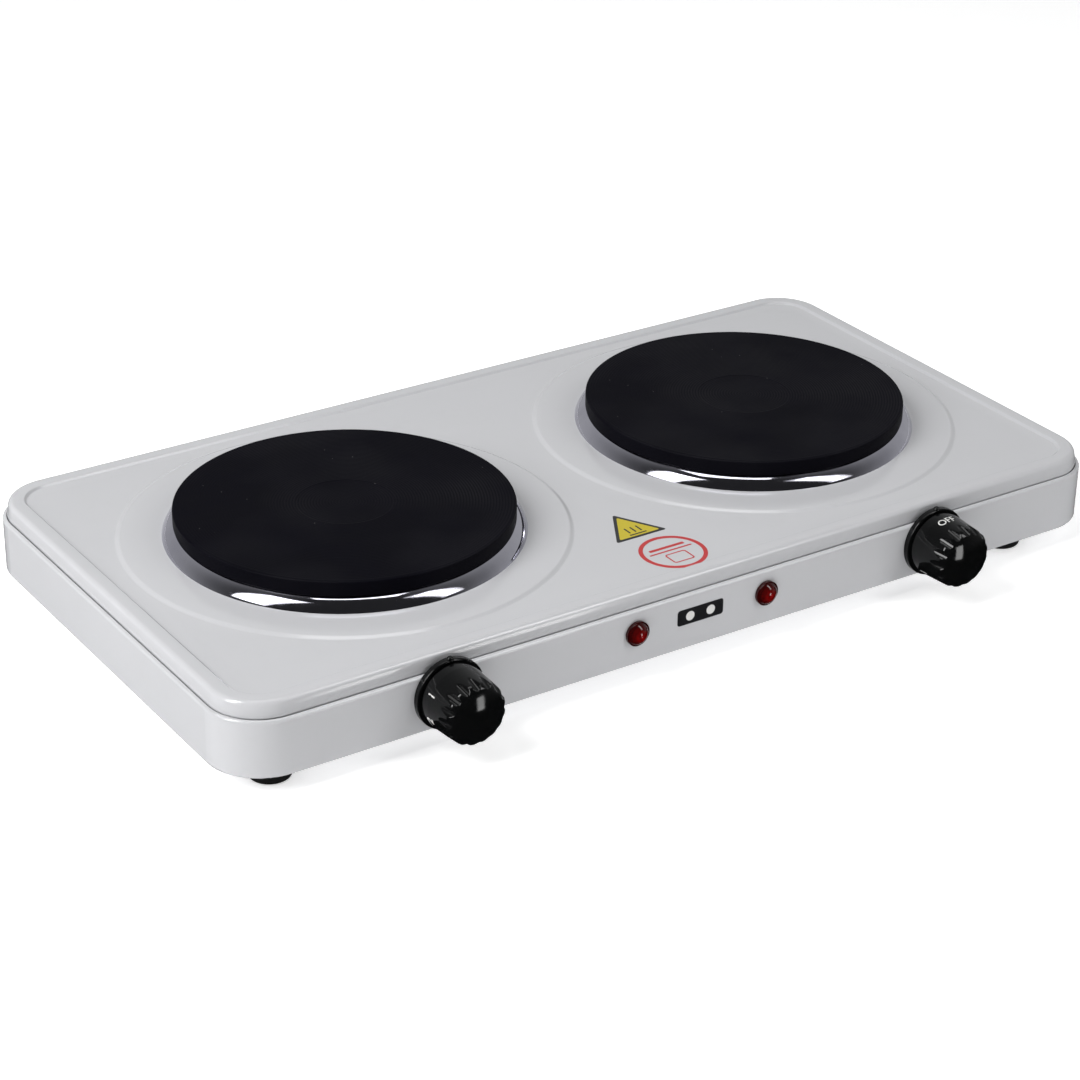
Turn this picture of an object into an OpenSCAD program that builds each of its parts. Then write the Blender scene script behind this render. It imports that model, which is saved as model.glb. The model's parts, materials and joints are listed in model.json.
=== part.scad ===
// Double hot plate burner: enamelled steel casing, two cast-iron plates, two thermostat knobs.
// Millimetres. X runs to the right, Y to the rear, Z up; the feet stand on Z = 0.
// The frame's origin is the middle of the footprint, knobs and cord gland included.

/* [Casing] */
// Width of the base pan, side to side
pan_w = 470.6; // [440:0.1:600]
// Depth of the base pan, front to rear
pan_d = 245.4; // [235:1:300]
// Height of the base pan
pan_h = 27.2; // [26:0.01:36]
// Corner radius of the base pan in plan
pan_corner_r = 26; // [20:1:36]
// Thickness of the enamelled steel sheet
sheet = 0.8; // [0.6:0.1:1]
// Radius of the pan's rolled top edge
pan_roll_r = 1.6; // [1.2:0.1:1.7]
// Radius of the bend at the pan's bottom edge
pan_bend_r = 1.4; // [1.1:0.1:2]
// How far the top panel's skirt is set in from the pan wall
panel_inset = 2.0; // [1.9:0.1:2.4]
// Open seam between the pan's rolled edge and the skirt
seam_gap = 0.3; // [0.2:0.05:0.4]
// Height of the top panel's raised rim above the pan
panel_rise = 7.5; // [6:0.5:10]
// Length of skirt tucked down inside the pan
panel_tuck = 4.6; // [3:0.2:4.8]
// Outer radius of the top panel's edge bend
panel_bend_r = 2.6; // [1.6:0.2:3.4]
// Width of the raised rim, from the skirt to the step
rim_band = 9.4; // [8:0.2:12]
// Drop from the rim to the sunken field
field_drop = 1.2; // [0.8:0.1:1.6]
// Rise from the field to the round land under each plate
land_rise = 1.0; // [0.6:0.1:1.2]
// Radius of the round land under each plate
land_r = 104; // [96:1:106]
// Width of the pressed slopes
step_run = 2.0; // [1.2:0.1:2.6]

/* [Hot plates] */
// Radius of each cast-iron plate
plate_r = 77.5; // [60:0.1:84]
// Distance of each plate's centre from the middle of the pan
plate_x = 112.3; // [105:0.5:130]
// Distance of the plate centres behind the middle of the pan
plate_y = 1.3; // [-4:0.1:6]
// Height of the plate's visible side
plate_h = 7.4; // [6:0.2:10]
// Radius of the plate's top and bottom corners
plate_edge_r = 0.9; // [0.4:0.1:1.4]
// Radius of the sunken middle of the plate
dimple_r = 22.5; // [16:0.5:26]
// Depth of the sunken middle of the plate
dimple_depth = 0.4; // [0.2:0.1:0.8]
// Height of the trim ring above the land
ring_h = 5.4; // [4:0.2:7]
// Thickness of the trim ring's sheet
ring_t = 0.5; // [0.4:0.1:0.8]
// How far the trim ring reaches out past the plate
ring_reach = 5.1; // [4.6:0.1:6]
// Radius of the heating coil's channel filling
coil_r = 2.6; // [2:0.1:3]
// Radii between neighbouring turns of the heating coil
coil_pitch = 10; // [8:0.5:10.5]
// Radius of the clamping stud
stud_r = 2.5; // [2:0.1:3]

/* [Controls] */
// How far the knobs stand from the middle of the row of controls
knob_x = 132.1; // [115:0.5:150]
// How far the row of controls sits left of the pan's middle
controls_shift = 2.5; // [0:0.1:4]
// Height of the knob axis below the pan's top edge
knob_drop = 10.9; // [10.6:0.1:14]
// Radius of the knob at its rear edge
knob_r = 15.2; // [14:0.1:16]
// Radius of the knob where its front begins to round over
knob_front_r = 14.5; // [13:0.1:15]
// How far the knob's front stands from the pan wall
knob_reach = 26.8; // [24:0.2:32]
// Wall thickness of the knob
knob_wall = 1.5; // [1.2:0.1:2]
// Number of grooves round the knob
flute_count = 16; // [12:1:20]
// Radius of each groove
flute_r = 2.4; // [1.8:0.1:2.6]
// How far out of the wall the grooves begin
flute_start = 16.5; // [13:0.1:18]
// How much each groove deepens for every millimetre towards the front
flute_slope = 0.29; // [0.2:0.01:0.32]
// Turn of the left knob from OFF, clockwise seen from the front
left_knob_turn = 66; // [0:1:270]
// Turn of the right knob from OFF
right_knob_turn = 0; // [0:1:270]
// Full travel of a knob between its stops
knob_travel = 270; // [240:5:280]
// Radius of the bezel behind the knob
bezel_r = 16.6; // [16.2:0.1:17.4]
// Thickness of the bezel
bezel_t = 3; // [2.6:0.1:3.6]
// Radius of the setting pip at the top of the bezel
pip_r = 1.7; // [1:0.1:1.8]
// Radius of the thermostat's shaft
shaft_r = 3; // [2.5:0.1:3.8]
// Radial running clearance of the shaft in its bush
shaft_fit = 0.05; // [0.03:0.01:0.08]
// Distance between the two screws of a thermostat
screw_pitch = 20; // [19:0.5:21]
// Distance of each lamp from the middle of the row of controls
lamp_x = 35.3; // [25:0.5:60]
// Height of the lamps below the pan's top edge
lamp_drop = 11.2; // [10:0.1:14]
// Radius of the lamp lens flange
lens_r = 5.9; // [5.2:0.1:7]

/* [Feet and fixings] */
// Height of each foot
foot_h = 8; // [6:0.5:12]
// Radius of each foot
foot_r = 9.5; // [8:0.5:11]
// Distance of the left feet from the pan's middle
foot_left_x = 210.8; // [195:0.2:214]
// Distance of the right feet from the pan's middle
foot_right_x = 188.9; // [180:0.2:214]
// Distance of the feet from the pan's middle, front and rear
foot_y = 105.6; // [98:0.2:106]
// Radius of the foot screws
foot_screw_r = 2; // [1.5:0.1:2.4]
// Radius of the posts that carry the top panel
post_r = 4; // [3.4:0.1:5]

/* [Cord entry] */
// Distance of the cord gland left of the pan's middle
gland_x = 50.8; // [30:0.2:90]
// Bore of the cord gland, as a radius
gland_bore_r = 3.6; // [3:0.1:4]
// Radius of the gland's outer collar
gland_r = 7; // [6:0.1:7.5]
// How far the gland stands out of the pan's rear wall
gland_reach = 17; // [10:0.5:20]

/* [Hidden] */
$fn = 96;

pan_z = foot_h;
floor_z = pan_z + sheet;
seam_z = pan_z + pan_h;
rim_z = seam_z + panel_rise;
field_z = rim_z - field_drop;
land_z = field_z + land_rise;
plate_z = land_z + ring_h;
plate_top_z = plate_z + plate_h;
pan_y = (knob_reach - gland_reach) / 2;
through = 1;
snug = 0.05;
loose = 0.3;

panel_w = pan_w - 2 * panel_inset;
panel_d = pan_d - 2 * panel_inset;
panel_corner_r = pan_corner_r - panel_inset;
skirt_z = seam_z - panel_tuck;

// Under the plate: the casting stands in the panel's hole and holds the coil in a groove.
hole_overlap = 4.5;
ring_overlap = 6.5;
ring_slack = 0.5;
ring_foot_angle = 22;
ring_top_angle = 68;
hole_r = plate_r - hole_overlap;
ring_inner_r = plate_r - ring_overlap;
casting_r = ring_inner_r - ring_slack;
casting_depth = 7.4;
casting_z = plate_z - casting_depth;
groove_wall = 6.5;
groove_margin = 7;
coil_turns = 3;
groove_outer_r = casting_r - groove_wall;
coil_first_r = groove_outer_r - groove_margin - (coil_turns - 1) * coil_pitch;
groove_inner_r = coil_first_r - groove_margin;
groove_depth = 10.5;
fill_gap = 0.2;
fill_inset = 0.7;
fill_z = casting_z + fill_inset;
fill_top_z = casting_z + groove_depth - fill_gap;
coil_z = (fill_z + fill_top_z) / 2;
cover_t = 0.8;
cover_inset = 2.5;
cover_r = casting_r - cover_inset;
cover_z = casting_z - cover_t;
bar_w = 18;
bar_t = 2;
bar_lift = 19.2;
bar_z = floor_z + bar_lift;
bar_slack = 1;
bar_half = hole_r + bar_slack;
bar_foot = 8;
stud_tail = 8;
stud_bore = 8;
stud_end_gap = 0.5;
stud_low_z = bar_z - stud_tail;
stud_high_z = casting_z + stud_bore;
nut_r = 4.6;
nut_h = 4;
terminal_size = [26, 12, 5.6];
tab_size = [1, 5, 6];
tab_pitch = 8;
terminal_y = sqrt(pow(coil_first_r, 2) - pow(tab_pitch, 2));
tail_r = 1;
tail_sink = 2;

knob_z = seam_z - knob_drop;
knob_gap = 0.6;
knob_back = bezel_t + knob_gap;
knob_dome_r = 34;
knob_edge_r = 4;
knob_edge_c = knob_front_r - knob_edge_r;
knob_dome_c = knob_reach - knob_dome_r;
knob_shoulder = knob_dome_c
    + sqrt(pow(knob_dome_r - knob_edge_r, 2) - pow(knob_edge_c, 2));
knob_straight = 5;
knob_hollow = 11;
hub_wall = 2.4;
hub_gap = 1.6;
hub_r = shaft_r + hub_wall;
hub_back = bezel_t + hub_gap;
flute_back = knob_back + knob_straight;
flute_mid_r = knob_r + flute_r + (knob_front_r - knob_r)
    * (flute_start - flute_back) / (knob_shoulder - flute_back);
bezel_edge_r = 0.7;
bezel_rim = 2;
bezel_recess_r = bezel_r - bezel_rim;
bezel_recess = 1;
pip_inset = 0.4;
bush_wall = 2;
bush_sink = 0.8;
bush_r = shaft_r + bush_wall;
bush_reach = bezel_t - bush_sink;
screw_r = 1.5;
screw_head_r = 2.6;
screw_head_h = 1.4;
mount_t = 1.5;
mount_back = -sheet - mount_t;
mount_half_w = 18;
mount_low = -11;
mount_clear = 1.3;
mount_high = knob_drop - panel_tuck - mount_clear;
cheek_gap = 3;
cheek_in = screw_pitch / 2 + cheek_gap;
cheek_t = 1.2;
cheek_len = 30;
collar_wall = 1.6;
collar_r = shaft_r + collar_wall;
collar_t = 3;
collar_gap = 0.5;
collar_front = mount_back - collar_gap;
lug_reach = 3;
lug_r = collar_r + lug_reach;
lug_half = 20;
lug_middle = 225;
tab_slack = 3;
tab_half = (360 - knob_travel) / 2 - lug_half - tab_slack;
tab_r = lug_r + 0.5;
shaft_in = 22;
shaft_out = 16.5;
flat_out = shaft_r / 2;
flat_back = hub_back - fill_gap;
shaft_end_gap = 0.5;
spring_t = 0.4;
spring_half_w = 1.6;
cam_r = 4.6;
cam_off = 1;
cam_t = 3;
block_low = mount_low;
block_high = -6.8;
block_front = -9;
block_back = -33;
blade_t = 0.5;

lamp_z = seam_z - lamp_drop;
lens_t = 1.4;
lens_dome_r = 5.3;
lens_dome_h = 3.2;
barrel_r = 4.1;
barrel_len = 9;
barrel_bore_r = 3.3;
bulb_r = barrel_bore_r - snug;

foot_recess_r = 4.6;
foot_recess = 4.4;
foot_head_r = 3.8;
foot_head_h = 2.4;
foot_edge_r = 1.5;
cross_half_w = 0.5;
cross_half_l = 2.6;
cross_depth = 1;
post_bore = 12;
screw_gap = 0.2;
gland_drop = 10.2;
gland_z = seam_z - gland_drop;
gland_neck_r = 5;
gland_flange_reach = 0.6;
gland_flange_r = gland_r + gland_flange_reach;
gland_edge_r = 1.5;
gland_snap = 2.4;
gland_flange_t = 2.4;
gland_inner = 9;
gland_step_r = gland_neck_r + 0.3;
vent_l = 46;
vent_w = 4;
vent_pitch = 14;
vent_count = 7;
block_y = 84;
block_w = 36;
block_d = 16;
block_screw_r = 1.9;
block_screw_gap = 10;
earth_x = -16;
earth_y = 88;
wire_r = 1.2;
wire_fit = 0.2;
lead_low = (block_low + block_high) / 2;
lead_z = knob_z + lead_low;
block_cap = 7.4;
block_top_z = lead_z + block_cap;
lead_in = 4;
lead_rear_y = 55;
lead_front_y = -60;
lead_turn_y = -40;

// ---- placing ----

// Moves a shape drawn about the pan's middle to its place in the frame.
module placed() {
    translate([0, pan_y, 0]) children();
}

// Local +Z points out of the front wall and local +Y points up; Z = 0 is the wall's face.
module at_front(x, z) {
    translate([x, pan_y - pan_d / 2, z]) rotate([90, 0, 0]) children();
}

module at_control(side) {
    at_front(side * knob_x - controls_shift, knob_z) children();
}

module at_lamp(side) {
    at_front(side * lamp_x - controls_shift, lamp_z) children();
}

module at_plate(side) {
    translate([side * plate_x, pan_y + plate_y, 0]) children();
}

// Turns a shape clockwise as seen from the front of the appliance.
module turned(degrees) {
    rotate([0, 0, -degrees]) children();
}

module at_foot(x, y) {
    translate([x, pan_y + y, 0]) children();
}

// ---- shapes ----

module disc(r, z0, z1) {
    translate([0, 0, z0]) cylinder(r = r, h = z1 - z0);
}

module washer(r_out, r_in, z0, z1) {
    difference() {
        disc(r_out, z0, z1);
        disc(r_in, z0 - through, z1 + through);
    }
}

module block(x0, x1, y0, y1, z0, z1) {
    translate([x0, y0, z0]) cube([x1 - x0, y1 - y0, z1 - z0]);
}

// Part of a ring, centred on the angle clockwise from the top seen from the front.
module arc_piece(r_in, r_out, middle, half, z0, z1) {
    rotate([0, 0, 90 - middle - half])
        rotate_extrude(angle = 2 * half)
            translate([r_in, z0]) square([r_out - r_in, z1 - z0]);
}

// Runs a section round a rounded rectangle. In the section, X = 0 is the outline
// and negative X lies inside it.
module around(w, d, r) {
    for (turn = [0, 90, 180, 270]) {
        half_w = (turn % 180 == 0) ? w / 2 : d / 2;
        half_d = (turn % 180 == 0) ? d / 2 : w / 2;
        rotate([0, 0, turn]) {
            translate([half_w, half_d - r, 0]) rotate([90, 0, 0])
                linear_extrude(2 * (half_d - r)) children();
            translate([half_w - r, half_d - r, 0])
                rotate_extrude(angle = 90) translate([r, 0]) children();
        }
    }
}

module rounded_plate(w, d, r, z0, z1) {
    translate([0, 0, z0]) linear_extrude(z1 - z0) {
        square([w, d - 2 * r], center = true);
        square([w - 2 * r, d], center = true);
        for (x = [-1, 1], y = [-1, 1])
            translate([x * (w / 2 - r), y * (d / 2 - r)]) circle(r);
    }
}

// A quarter bend of sheet: its centre is the origin, it runs from +X to +Y.
module sheet_bend(r, t) {
    intersection() {
        difference() {
            circle(r);
            circle(r - t);
        }
        square(r + through);
    }
}

// A lead with square turns, each rounded by a ball.
module wire(points) {
    for (i = [0 : len(points) - 2]) {
        run = points[i + 1] - points[i];
        length = norm(run);
        translate(points[i])
            rotate([0, acos(run[2] / length), atan2(run[1], run[0])])
                cylinder(r = wire_r, h = length, $fn = 32);
        if (i > 0)
            translate(points[i]) sphere(r = wire_r + snug, $fn = 32);
    }
}

// ---- casing ----

module pan_section() {
    translate([-pan_bend_r, pan_z + pan_bend_r]) mirror([0, 1]) sheet_bend(pan_bend_r, sheet);
    translate([-sheet, pan_z + pan_bend_r]) square([sheet, pan_h - pan_bend_r - pan_roll_r]);
    translate([-pan_roll_r, seam_z - pan_roll_r]) sheet_bend(pan_roll_r, sheet);
    translate([seam_gap - panel_inset, seam_z - sheet])
        square([panel_inset - seam_gap - pan_roll_r, sheet]);
}

module vents() {
    for (side = [-1, 1], i = [0 : vent_count - 1]) {
        x = side * plate_x;
        y = plate_y + (i - (vent_count - 1) / 2) * vent_pitch;
        block(x - vent_l / 2, x + vent_l / 2, y - vent_w / 2, y + vent_w / 2,
            pan_z - through, floor_z + through);
        for (end = [-1, 1])
            translate([x + end * vent_l / 2, y, 0])
                disc(vent_w / 2, pan_z - through, floor_z + through);
    }
}

module foot_holes() {
    for (x = [-foot_left_x, foot_right_x], y = [-foot_y, foot_y])
        translate([x, y, 0]) disc(foot_screw_r + screw_gap, pan_z - through, floor_z + through);
}

module base_pan() {
    color("white") difference() {
        placed() {
            difference() {
                union() {
                    around(pan_w, pan_d, pan_corner_r) pan_section();
                    rounded_plate(pan_w - 2 * pan_bend_r, pan_d - 2 * pan_bend_r,
                        pan_corner_r - pan_bend_r, pan_z, floor_z);
                }
                vents();
                foot_holes();
            }
        }
        for (side = [-1, 1]) {
            at_control(side) {
                disc(bush_r + loose, -pan_roll_r - through, through);
                for (x = [-1, 1])
                    translate([x * screw_pitch / 2, 0, 0])
                        disc(screw_r + screw_gap, -pan_roll_r - through, through);
            }
            at_lamp(side) disc(barrel_r + screw_gap, -pan_roll_r - through, through);
        }
        translate([-gland_x, pan_y + pan_d / 2, gland_z]) rotate([-90, 0, 0])
            disc(gland_neck_r + screw_gap, -pan_roll_r - through, through);
    }
}

// The panel's sheet from the skirt over the rim and down the step to the field.
module panel_section() {
    translate([-sheet, skirt_z]) square([sheet, rim_z - panel_bend_r - skirt_z]);
    translate([-panel_bend_r, rim_z - panel_bend_r]) sheet_bend(panel_bend_r, sheet);
    translate([-rim_band, rim_z - sheet]) square([rim_band - panel_bend_r, sheet]);
    polygon([[-rim_band, rim_z], [-rim_band, rim_z - sheet],
        [-rim_band - step_run, field_z - sheet], [-rim_band - step_run, field_z]]);
}

module land() {
    disc(land_r - step_run, land_z - sheet, land_z);
    rotate_extrude()
        polygon([[land_r - step_run, land_z], [land_r, field_z],
            [land_r, field_z - sheet], [land_r - step_run, land_z - sheet]]);
}

module top_panel() {
    band = rim_band + step_run;
    color("white") difference() {
        union() {
            placed() {
                around(panel_w, panel_d, panel_corner_r) panel_section();
                difference() {
                    rounded_plate(panel_w - 2 * band, panel_d - 2 * band,
                        panel_corner_r - band, field_z - sheet, field_z);
                    for (side = [-1, 1])
                        translate([side * plate_x, plate_y, 0])
                            disc(land_r, field_z - sheet - through, field_z + through);
                }
            }
            for (side = [-1, 1]) at_plate(side) land();
        }
        for (side = [-1, 1])
            at_plate(side) disc(hole_r, field_z - 2 * sheet - through, land_z + through);
    }
}

module foot(x, y) {
    color("black") at_foot(x, y) difference() {
        union() {
            disc(foot_r - foot_edge_r, 0, foot_edge_r);
            disc(foot_r, foot_edge_r, pan_z);
            translate([0, 0, foot_edge_r]) rotate_extrude()
                translate([foot_r - foot_edge_r, 0]) circle(foot_edge_r);
        }
        disc(foot_recess_r, -through, foot_recess);
        disc(foot_screw_r + screw_gap, foot_recess - through, pan_z + through);
    }
}

module foot_screw(x, y) {
    head_z = foot_recess - foot_head_h;
    color("silver") at_foot(x, y) {
        difference() {
            disc(foot_head_r, head_z, foot_recess);
            for (turn = [0, 90])
                rotate([0, 0, turn])
                    block(-cross_half_w, cross_half_w, -cross_half_l, cross_half_l,
                        head_z - through, head_z + cross_depth);
        }
        disc(foot_screw_r, foot_recess, floor_z + post_bore - 2);
    }
}

module post(x, y) {
    color("silver") at_foot(x, y) difference() {
        disc(post_r, floor_z, field_z - sheet);
        disc(foot_screw_r + snug, floor_z - through, floor_z + post_bore);
    }
}

// ---- one burner ----

// The ring bows out and down from the plate's edge to the land.
module trim_ring(side) {
    bow = ring_h / (sin(ring_top_angle) - sin(ring_foot_angle));
    outer = plate_r + ring_reach;
    top = outer - bow * (cos(ring_foot_angle) - cos(ring_top_angle));
    color("silver") at_plate(side) rotate_extrude() {
        intersection() {
            translate([outer - bow * cos(ring_foot_angle), land_z - bow * sin(ring_foot_angle)])
                difference() {
                    circle(bow);
                    circle(bow - ring_t);
                }
            translate([top, land_z]) square([outer - top + through, ring_h + through]);
        }
        translate([ring_inner_r, plate_z - ring_t]) square([top - ring_inner_r, ring_t]);
    }
}

module hotplate(side) {
    color("dimgray") at_plate(side) difference() {
        union() {
            disc(plate_r - plate_edge_r, plate_z, plate_top_z);
            disc(plate_r, plate_z + plate_edge_r, plate_top_z - plate_edge_r);
            for (z = [plate_z + plate_edge_r, plate_top_z - plate_edge_r])
                translate([0, 0, z]) rotate_extrude()
                    translate([plate_r - plate_edge_r, 0]) circle(plate_edge_r);
            disc(casting_r, casting_z, plate_z);
        }
        disc(dimple_r, plate_top_z - dimple_depth, plate_top_z + through);
        washer(groove_outer_r, groove_inner_r, casting_z - through, casting_z + groove_depth);
        disc(stud_r + snug, casting_z - through, stud_high_z);
    }
}

module coil_shape(r) {
    for (i = [0 : coil_turns - 1])
        translate([0, 0, coil_z]) rotate_extrude()
            translate([coil_first_r + i * coil_pitch, 0]) circle(r);
    translate([coil_first_r, 0, coil_z]) rotate([0, 90, 0])
        cylinder(r = r / 2, h = (coil_turns - 1) * coil_pitch);
    for (x = [-1, 1])
        translate([x * tab_pitch, terminal_y, 0])
            disc(r - coil_r + tail_r, cover_z - tail_sink, coil_z);
}

module heating_coil(side) {
    color("peru") at_plate(side) coil_shape(coil_r);
}

module insulation(side) {
    color("ivory") at_plate(side) difference() {
        washer(groove_outer_r - fill_gap, groove_inner_r + fill_gap, fill_z, fill_top_z);
        coil_shape(coil_r + fill_gap);
    }
}

module plate_cover(side) {
    color("gray") at_plate(side) difference() {
        disc(cover_r, cover_z, casting_z);
        disc(stud_r + loose, cover_z - through, casting_z + through);
        for (x = [-1, 1])
            translate([x * tab_pitch, terminal_y, 0])
                disc(tail_r + loose, cover_z - through, casting_z + through);
    }
}

module clamp_bar(side) {
    top = land_z - sheet;
    color("silver") at_plate(side) difference() {
        union() {
            block(-bar_half - bar_t, bar_half + bar_t, -bar_w / 2, bar_w / 2, bar_z, bar_z + bar_t);
            for (end = [-1, 1]) {
                x = end * (bar_half + bar_t / 2);
                block(x - bar_t / 2, x + bar_t / 2, -bar_w / 2, bar_w / 2, bar_z, top);
                foot_x = end * (bar_half + bar_foot / 2);
                block(foot_x - bar_foot / 2, foot_x + bar_foot / 2,
                    -bar_w / 2, bar_w / 2, top - bar_t, top);
            }
        }
        disc(stud_r + loose, bar_z - through, bar_z + bar_t + through);
    }
}

module plate_stud(side) {
    color("silver") at_plate(side) disc(stud_r, stud_low_z, stud_high_z - stud_end_gap);
}

module clamp_nut(side) {
    color("silver") at_plate(side) difference() {
        translate([0, 0, bar_z - nut_h]) cylinder(r = nut_r, h = nut_h, $fn = 6);
        disc(stud_r + snug, bar_z - nut_h - through, bar_z + through);
    }
}

module plate_terminals(side) {
    color("beige") at_plate(side) translate([0, terminal_y, 0]) {
        difference() {
            block(-terminal_size[0] / 2, terminal_size[0] / 2, -terminal_size[1] / 2,
                terminal_size[1] / 2, cover_z - terminal_size[2], cover_z);
            for (x = [-1, 1])
                translate([x * tab_pitch, 0, 0])
                    disc(tail_r + snug, cover_z - tail_sink, cover_z + through);
        }
        for (i = [-1 : 1])
            translate([i * tab_pitch, 0, cover_z - terminal_size[2] - tab_size[2]])
                block(-tab_size[0] / 2, tab_size[0] / 2, -tab_size[1] / 2, tab_size[1] / 2,
                    0, tab_size[2]);
    }
}

// ---- one control ----

// Half section of the solid knob: tapered side, rounded edge and shallow domed front.
module knob_section() {
    polygon([[0, knob_back], [knob_r, knob_back], [knob_r, knob_back + knob_straight],
        [knob_front_r, knob_shoulder], [0, knob_shoulder]]);
    translate([knob_edge_c, knob_shoulder]) circle(knob_edge_r);
    intersection() {
        translate([0, knob_dome_c]) circle(knob_dome_r);
        polygon([[0, knob_shoulder - 1],
            [knob_edge_c, knob_shoulder - 1],
            [knob_edge_c, knob_shoulder],
            [knob_edge_c + (knob_edge_c) / 3, knob_shoulder + (knob_shoulder - knob_dome_c) / 3],
            [0, knob_shoulder + (knob_shoulder - knob_dome_c) / 3]]);
    }
}

module flutes() {
    for (i = [0 : flute_count - 1])
        turned(i * 360 / flute_count)
            translate([0, flute_mid_r, flute_start]) rotate([atan(flute_slope), 0, 0])
                translate([0, 0, -flute_r]) cylinder(r = flute_r, h = knob_reach, $fn = 48);
}

// The shaft's cross-section with its flat, grown by a clearance.
module flatted(r, flat, z0, z1) {
    intersection() {
        disc(r, z0, z1);
        block(-2 * r, 2 * r, -2 * r, flat, z0 - through, z1 + through);
    }
}

module knob(side, turn) {
    color("black") at_control(side) turned(turn) difference() {
        rotate_extrude() knob_section();
        flutes();
        difference() {
            disc(knob_r - knob_wall, knob_back - through, knob_back + knob_hollow);
            disc(hub_r, hub_back, knob_back + knob_hollow + through);
        }
        flatted(shaft_r + snug, flat_out + spring_t + snug,
            knob_back - through, shaft_out + shaft_end_gap);
    }
}

module knob_spring(side, turn) {
    color("silver") at_control(side) turned(turn)
        block(-spring_half_w, spring_half_w, flat_out + 0.01, flat_out + spring_t,
            hub_back + spring_t, shaft_out);
}

module shaft(side, turn) {
    color("silver") at_control(side) turned(turn) {
        disc(shaft_r, -shaft_in, flat_back);
        flatted(shaft_r, flat_out, flat_back, shaft_out);
        disc(collar_r, collar_front - collar_t, collar_front);
        arc_piece(shaft_r + 1, lug_r, lug_middle, lug_half,
            collar_front - collar_t, collar_front);
        translate([0, cam_off, 0]) disc(cam_r, -shaft_in, cam_t - shaft_in);
    }
}

module bezel(side) {
    color("black") at_control(side) difference() {
        union() {
            disc(bezel_r, 0, bezel_t - bezel_edge_r);
            disc(bezel_r - bezel_edge_r, 0, bezel_t);
            translate([0, 0, bezel_t - bezel_edge_r]) rotate_extrude()
                translate([bezel_r - bezel_edge_r, 0]) circle(bezel_edge_r);
            translate([0, bezel_r - pip_inset, pip_r]) sphere(r = pip_r, $fn = 48);
        }
        disc(bezel_recess_r, bezel_t - bezel_recess, bezel_t + through);
        disc(bush_r + loose, -through, bezel_t + through);
        for (x = [-1, 1])
            translate([x * screw_pitch / 2, 0, 0])
                disc(screw_r + screw_gap, -through, bezel_t + through);
    }
}

module thermostat_frame(side) {
    color("silver") at_control(side) difference() {
        union() {
            block(-mount_half_w, mount_half_w, mount_low, mount_high, mount_back, -sheet);
            disc(bush_r, mount_back, bush_reach);
            for (end = [-1, 1])
                block(end * cheek_in + (end - 1) * cheek_t / 2,
                    end * cheek_in + (end + 1) * cheek_t / 2,
                    mount_low, mount_high - 1, mount_back - cheek_len, mount_back);
            arc_piece(collar_r + 1, tab_r, 180, tab_half,
                collar_front - collar_t, mount_back + 0.2);
        }
        disc(shaft_r + shaft_fit, mount_back - through, bush_reach + through);
        for (x = [-1, 1])
            translate([x * screw_pitch / 2, 0, 0])
                disc(screw_r + snug, mount_back - through, through);
    }
}

module thermostat_block(side) {
    color("ivory") at_control(side) difference() {
        block(screw_gap - cheek_in, cheek_in - screw_gap, block_low, block_high,
            block_back, block_front);
        for (x = [-1, 1])
            translate([x * tab_pitch, lead_low, 0])
                disc(wire_r + wire_fit, block_back - through, block_back + lead_in + 2);
    }
}

module bimetal_blade(side) {
    color("goldenrod") at_control(side) {
        block(-3.5, 3.5, block_high, block_high + blade_t, block_back + 1, block_front - 4);
        block(-3.5, 3.5, block_high + blade_t, block_high + 2.4, block_back + 1, block_back + 6);
        translate([0, block_high + 2.4, block_back + 3.5]) rotate([-90, 0, 0])
            cylinder(r = 2.2, h = 1.2);
    }
}

module thermostat_screws(side) {
    seat = bezel_t - bezel_recess;
    color("silver") at_control(side) for (x = [-1, 1])
        translate([x * screw_pitch / 2, 0, 0]) {
            disc(screw_r, mount_back - 1.2, seat);
            difference() {
                disc(screw_head_r, seat, seat + screw_head_h);
                block(-1.8, 1.8, -0.35, 0.35, seat + 0.8, seat + screw_head_h + through);
                block(-0.35, 0.35, -1.8, 1.8, seat + 0.8, seat + screw_head_h + through);
            }
        }
}

// ---- lamps ----

module lamp_lens(side) {
    ball_r = (pow(lens_dome_r, 2) + pow(lens_dome_h, 2)) / (2 * lens_dome_h);
    color("red") at_lamp(side) difference() {
        union() {
            disc(lens_r, 0, lens_t);
            disc(barrel_r, -barrel_len, 0);
            intersection() {
                translate([0, 0, lens_t + lens_dome_h - ball_r]) sphere(r = ball_r);
                disc(lens_dome_r + through, lens_t, lens_t + lens_dome_h + through);
            }
        }
        disc(barrel_bore_r, -barrel_len - through, lens_t + 0.6);
    }
}

module lamp_bulb(side) {
    color("orange") at_lamp(side) {
        disc(bulb_r, -barrel_len - 4, -1.6);
        translate([0, 0, -1.6]) sphere(r = bulb_r);
    }
}

// ---- cord entry and wiring ----

module cord_gland() {
    color("black") translate([-gland_x, pan_y + pan_d / 2, gland_z]) rotate([-90, 0, 0])
        difference() {
            union() {
                disc(gland_neck_r, -gland_inner, gland_flange_t);
                disc(gland_flange_r, 0, gland_flange_t);
                disc(gland_r, gland_flange_t, gland_reach - gland_edge_r);
                translate([0, 0, gland_reach - gland_edge_r]) rotate_extrude()
                    translate([gland_r - gland_edge_r, 0]) circle(gland_edge_r);
                disc(gland_r - gland_edge_r, gland_reach - gland_edge_r, gland_reach);
                disc(gland_step_r, -sheet - gland_snap, -sheet);
            }
            disc(gland_bore_r, -gland_inner - through, gland_reach + through);
        }
}

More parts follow.
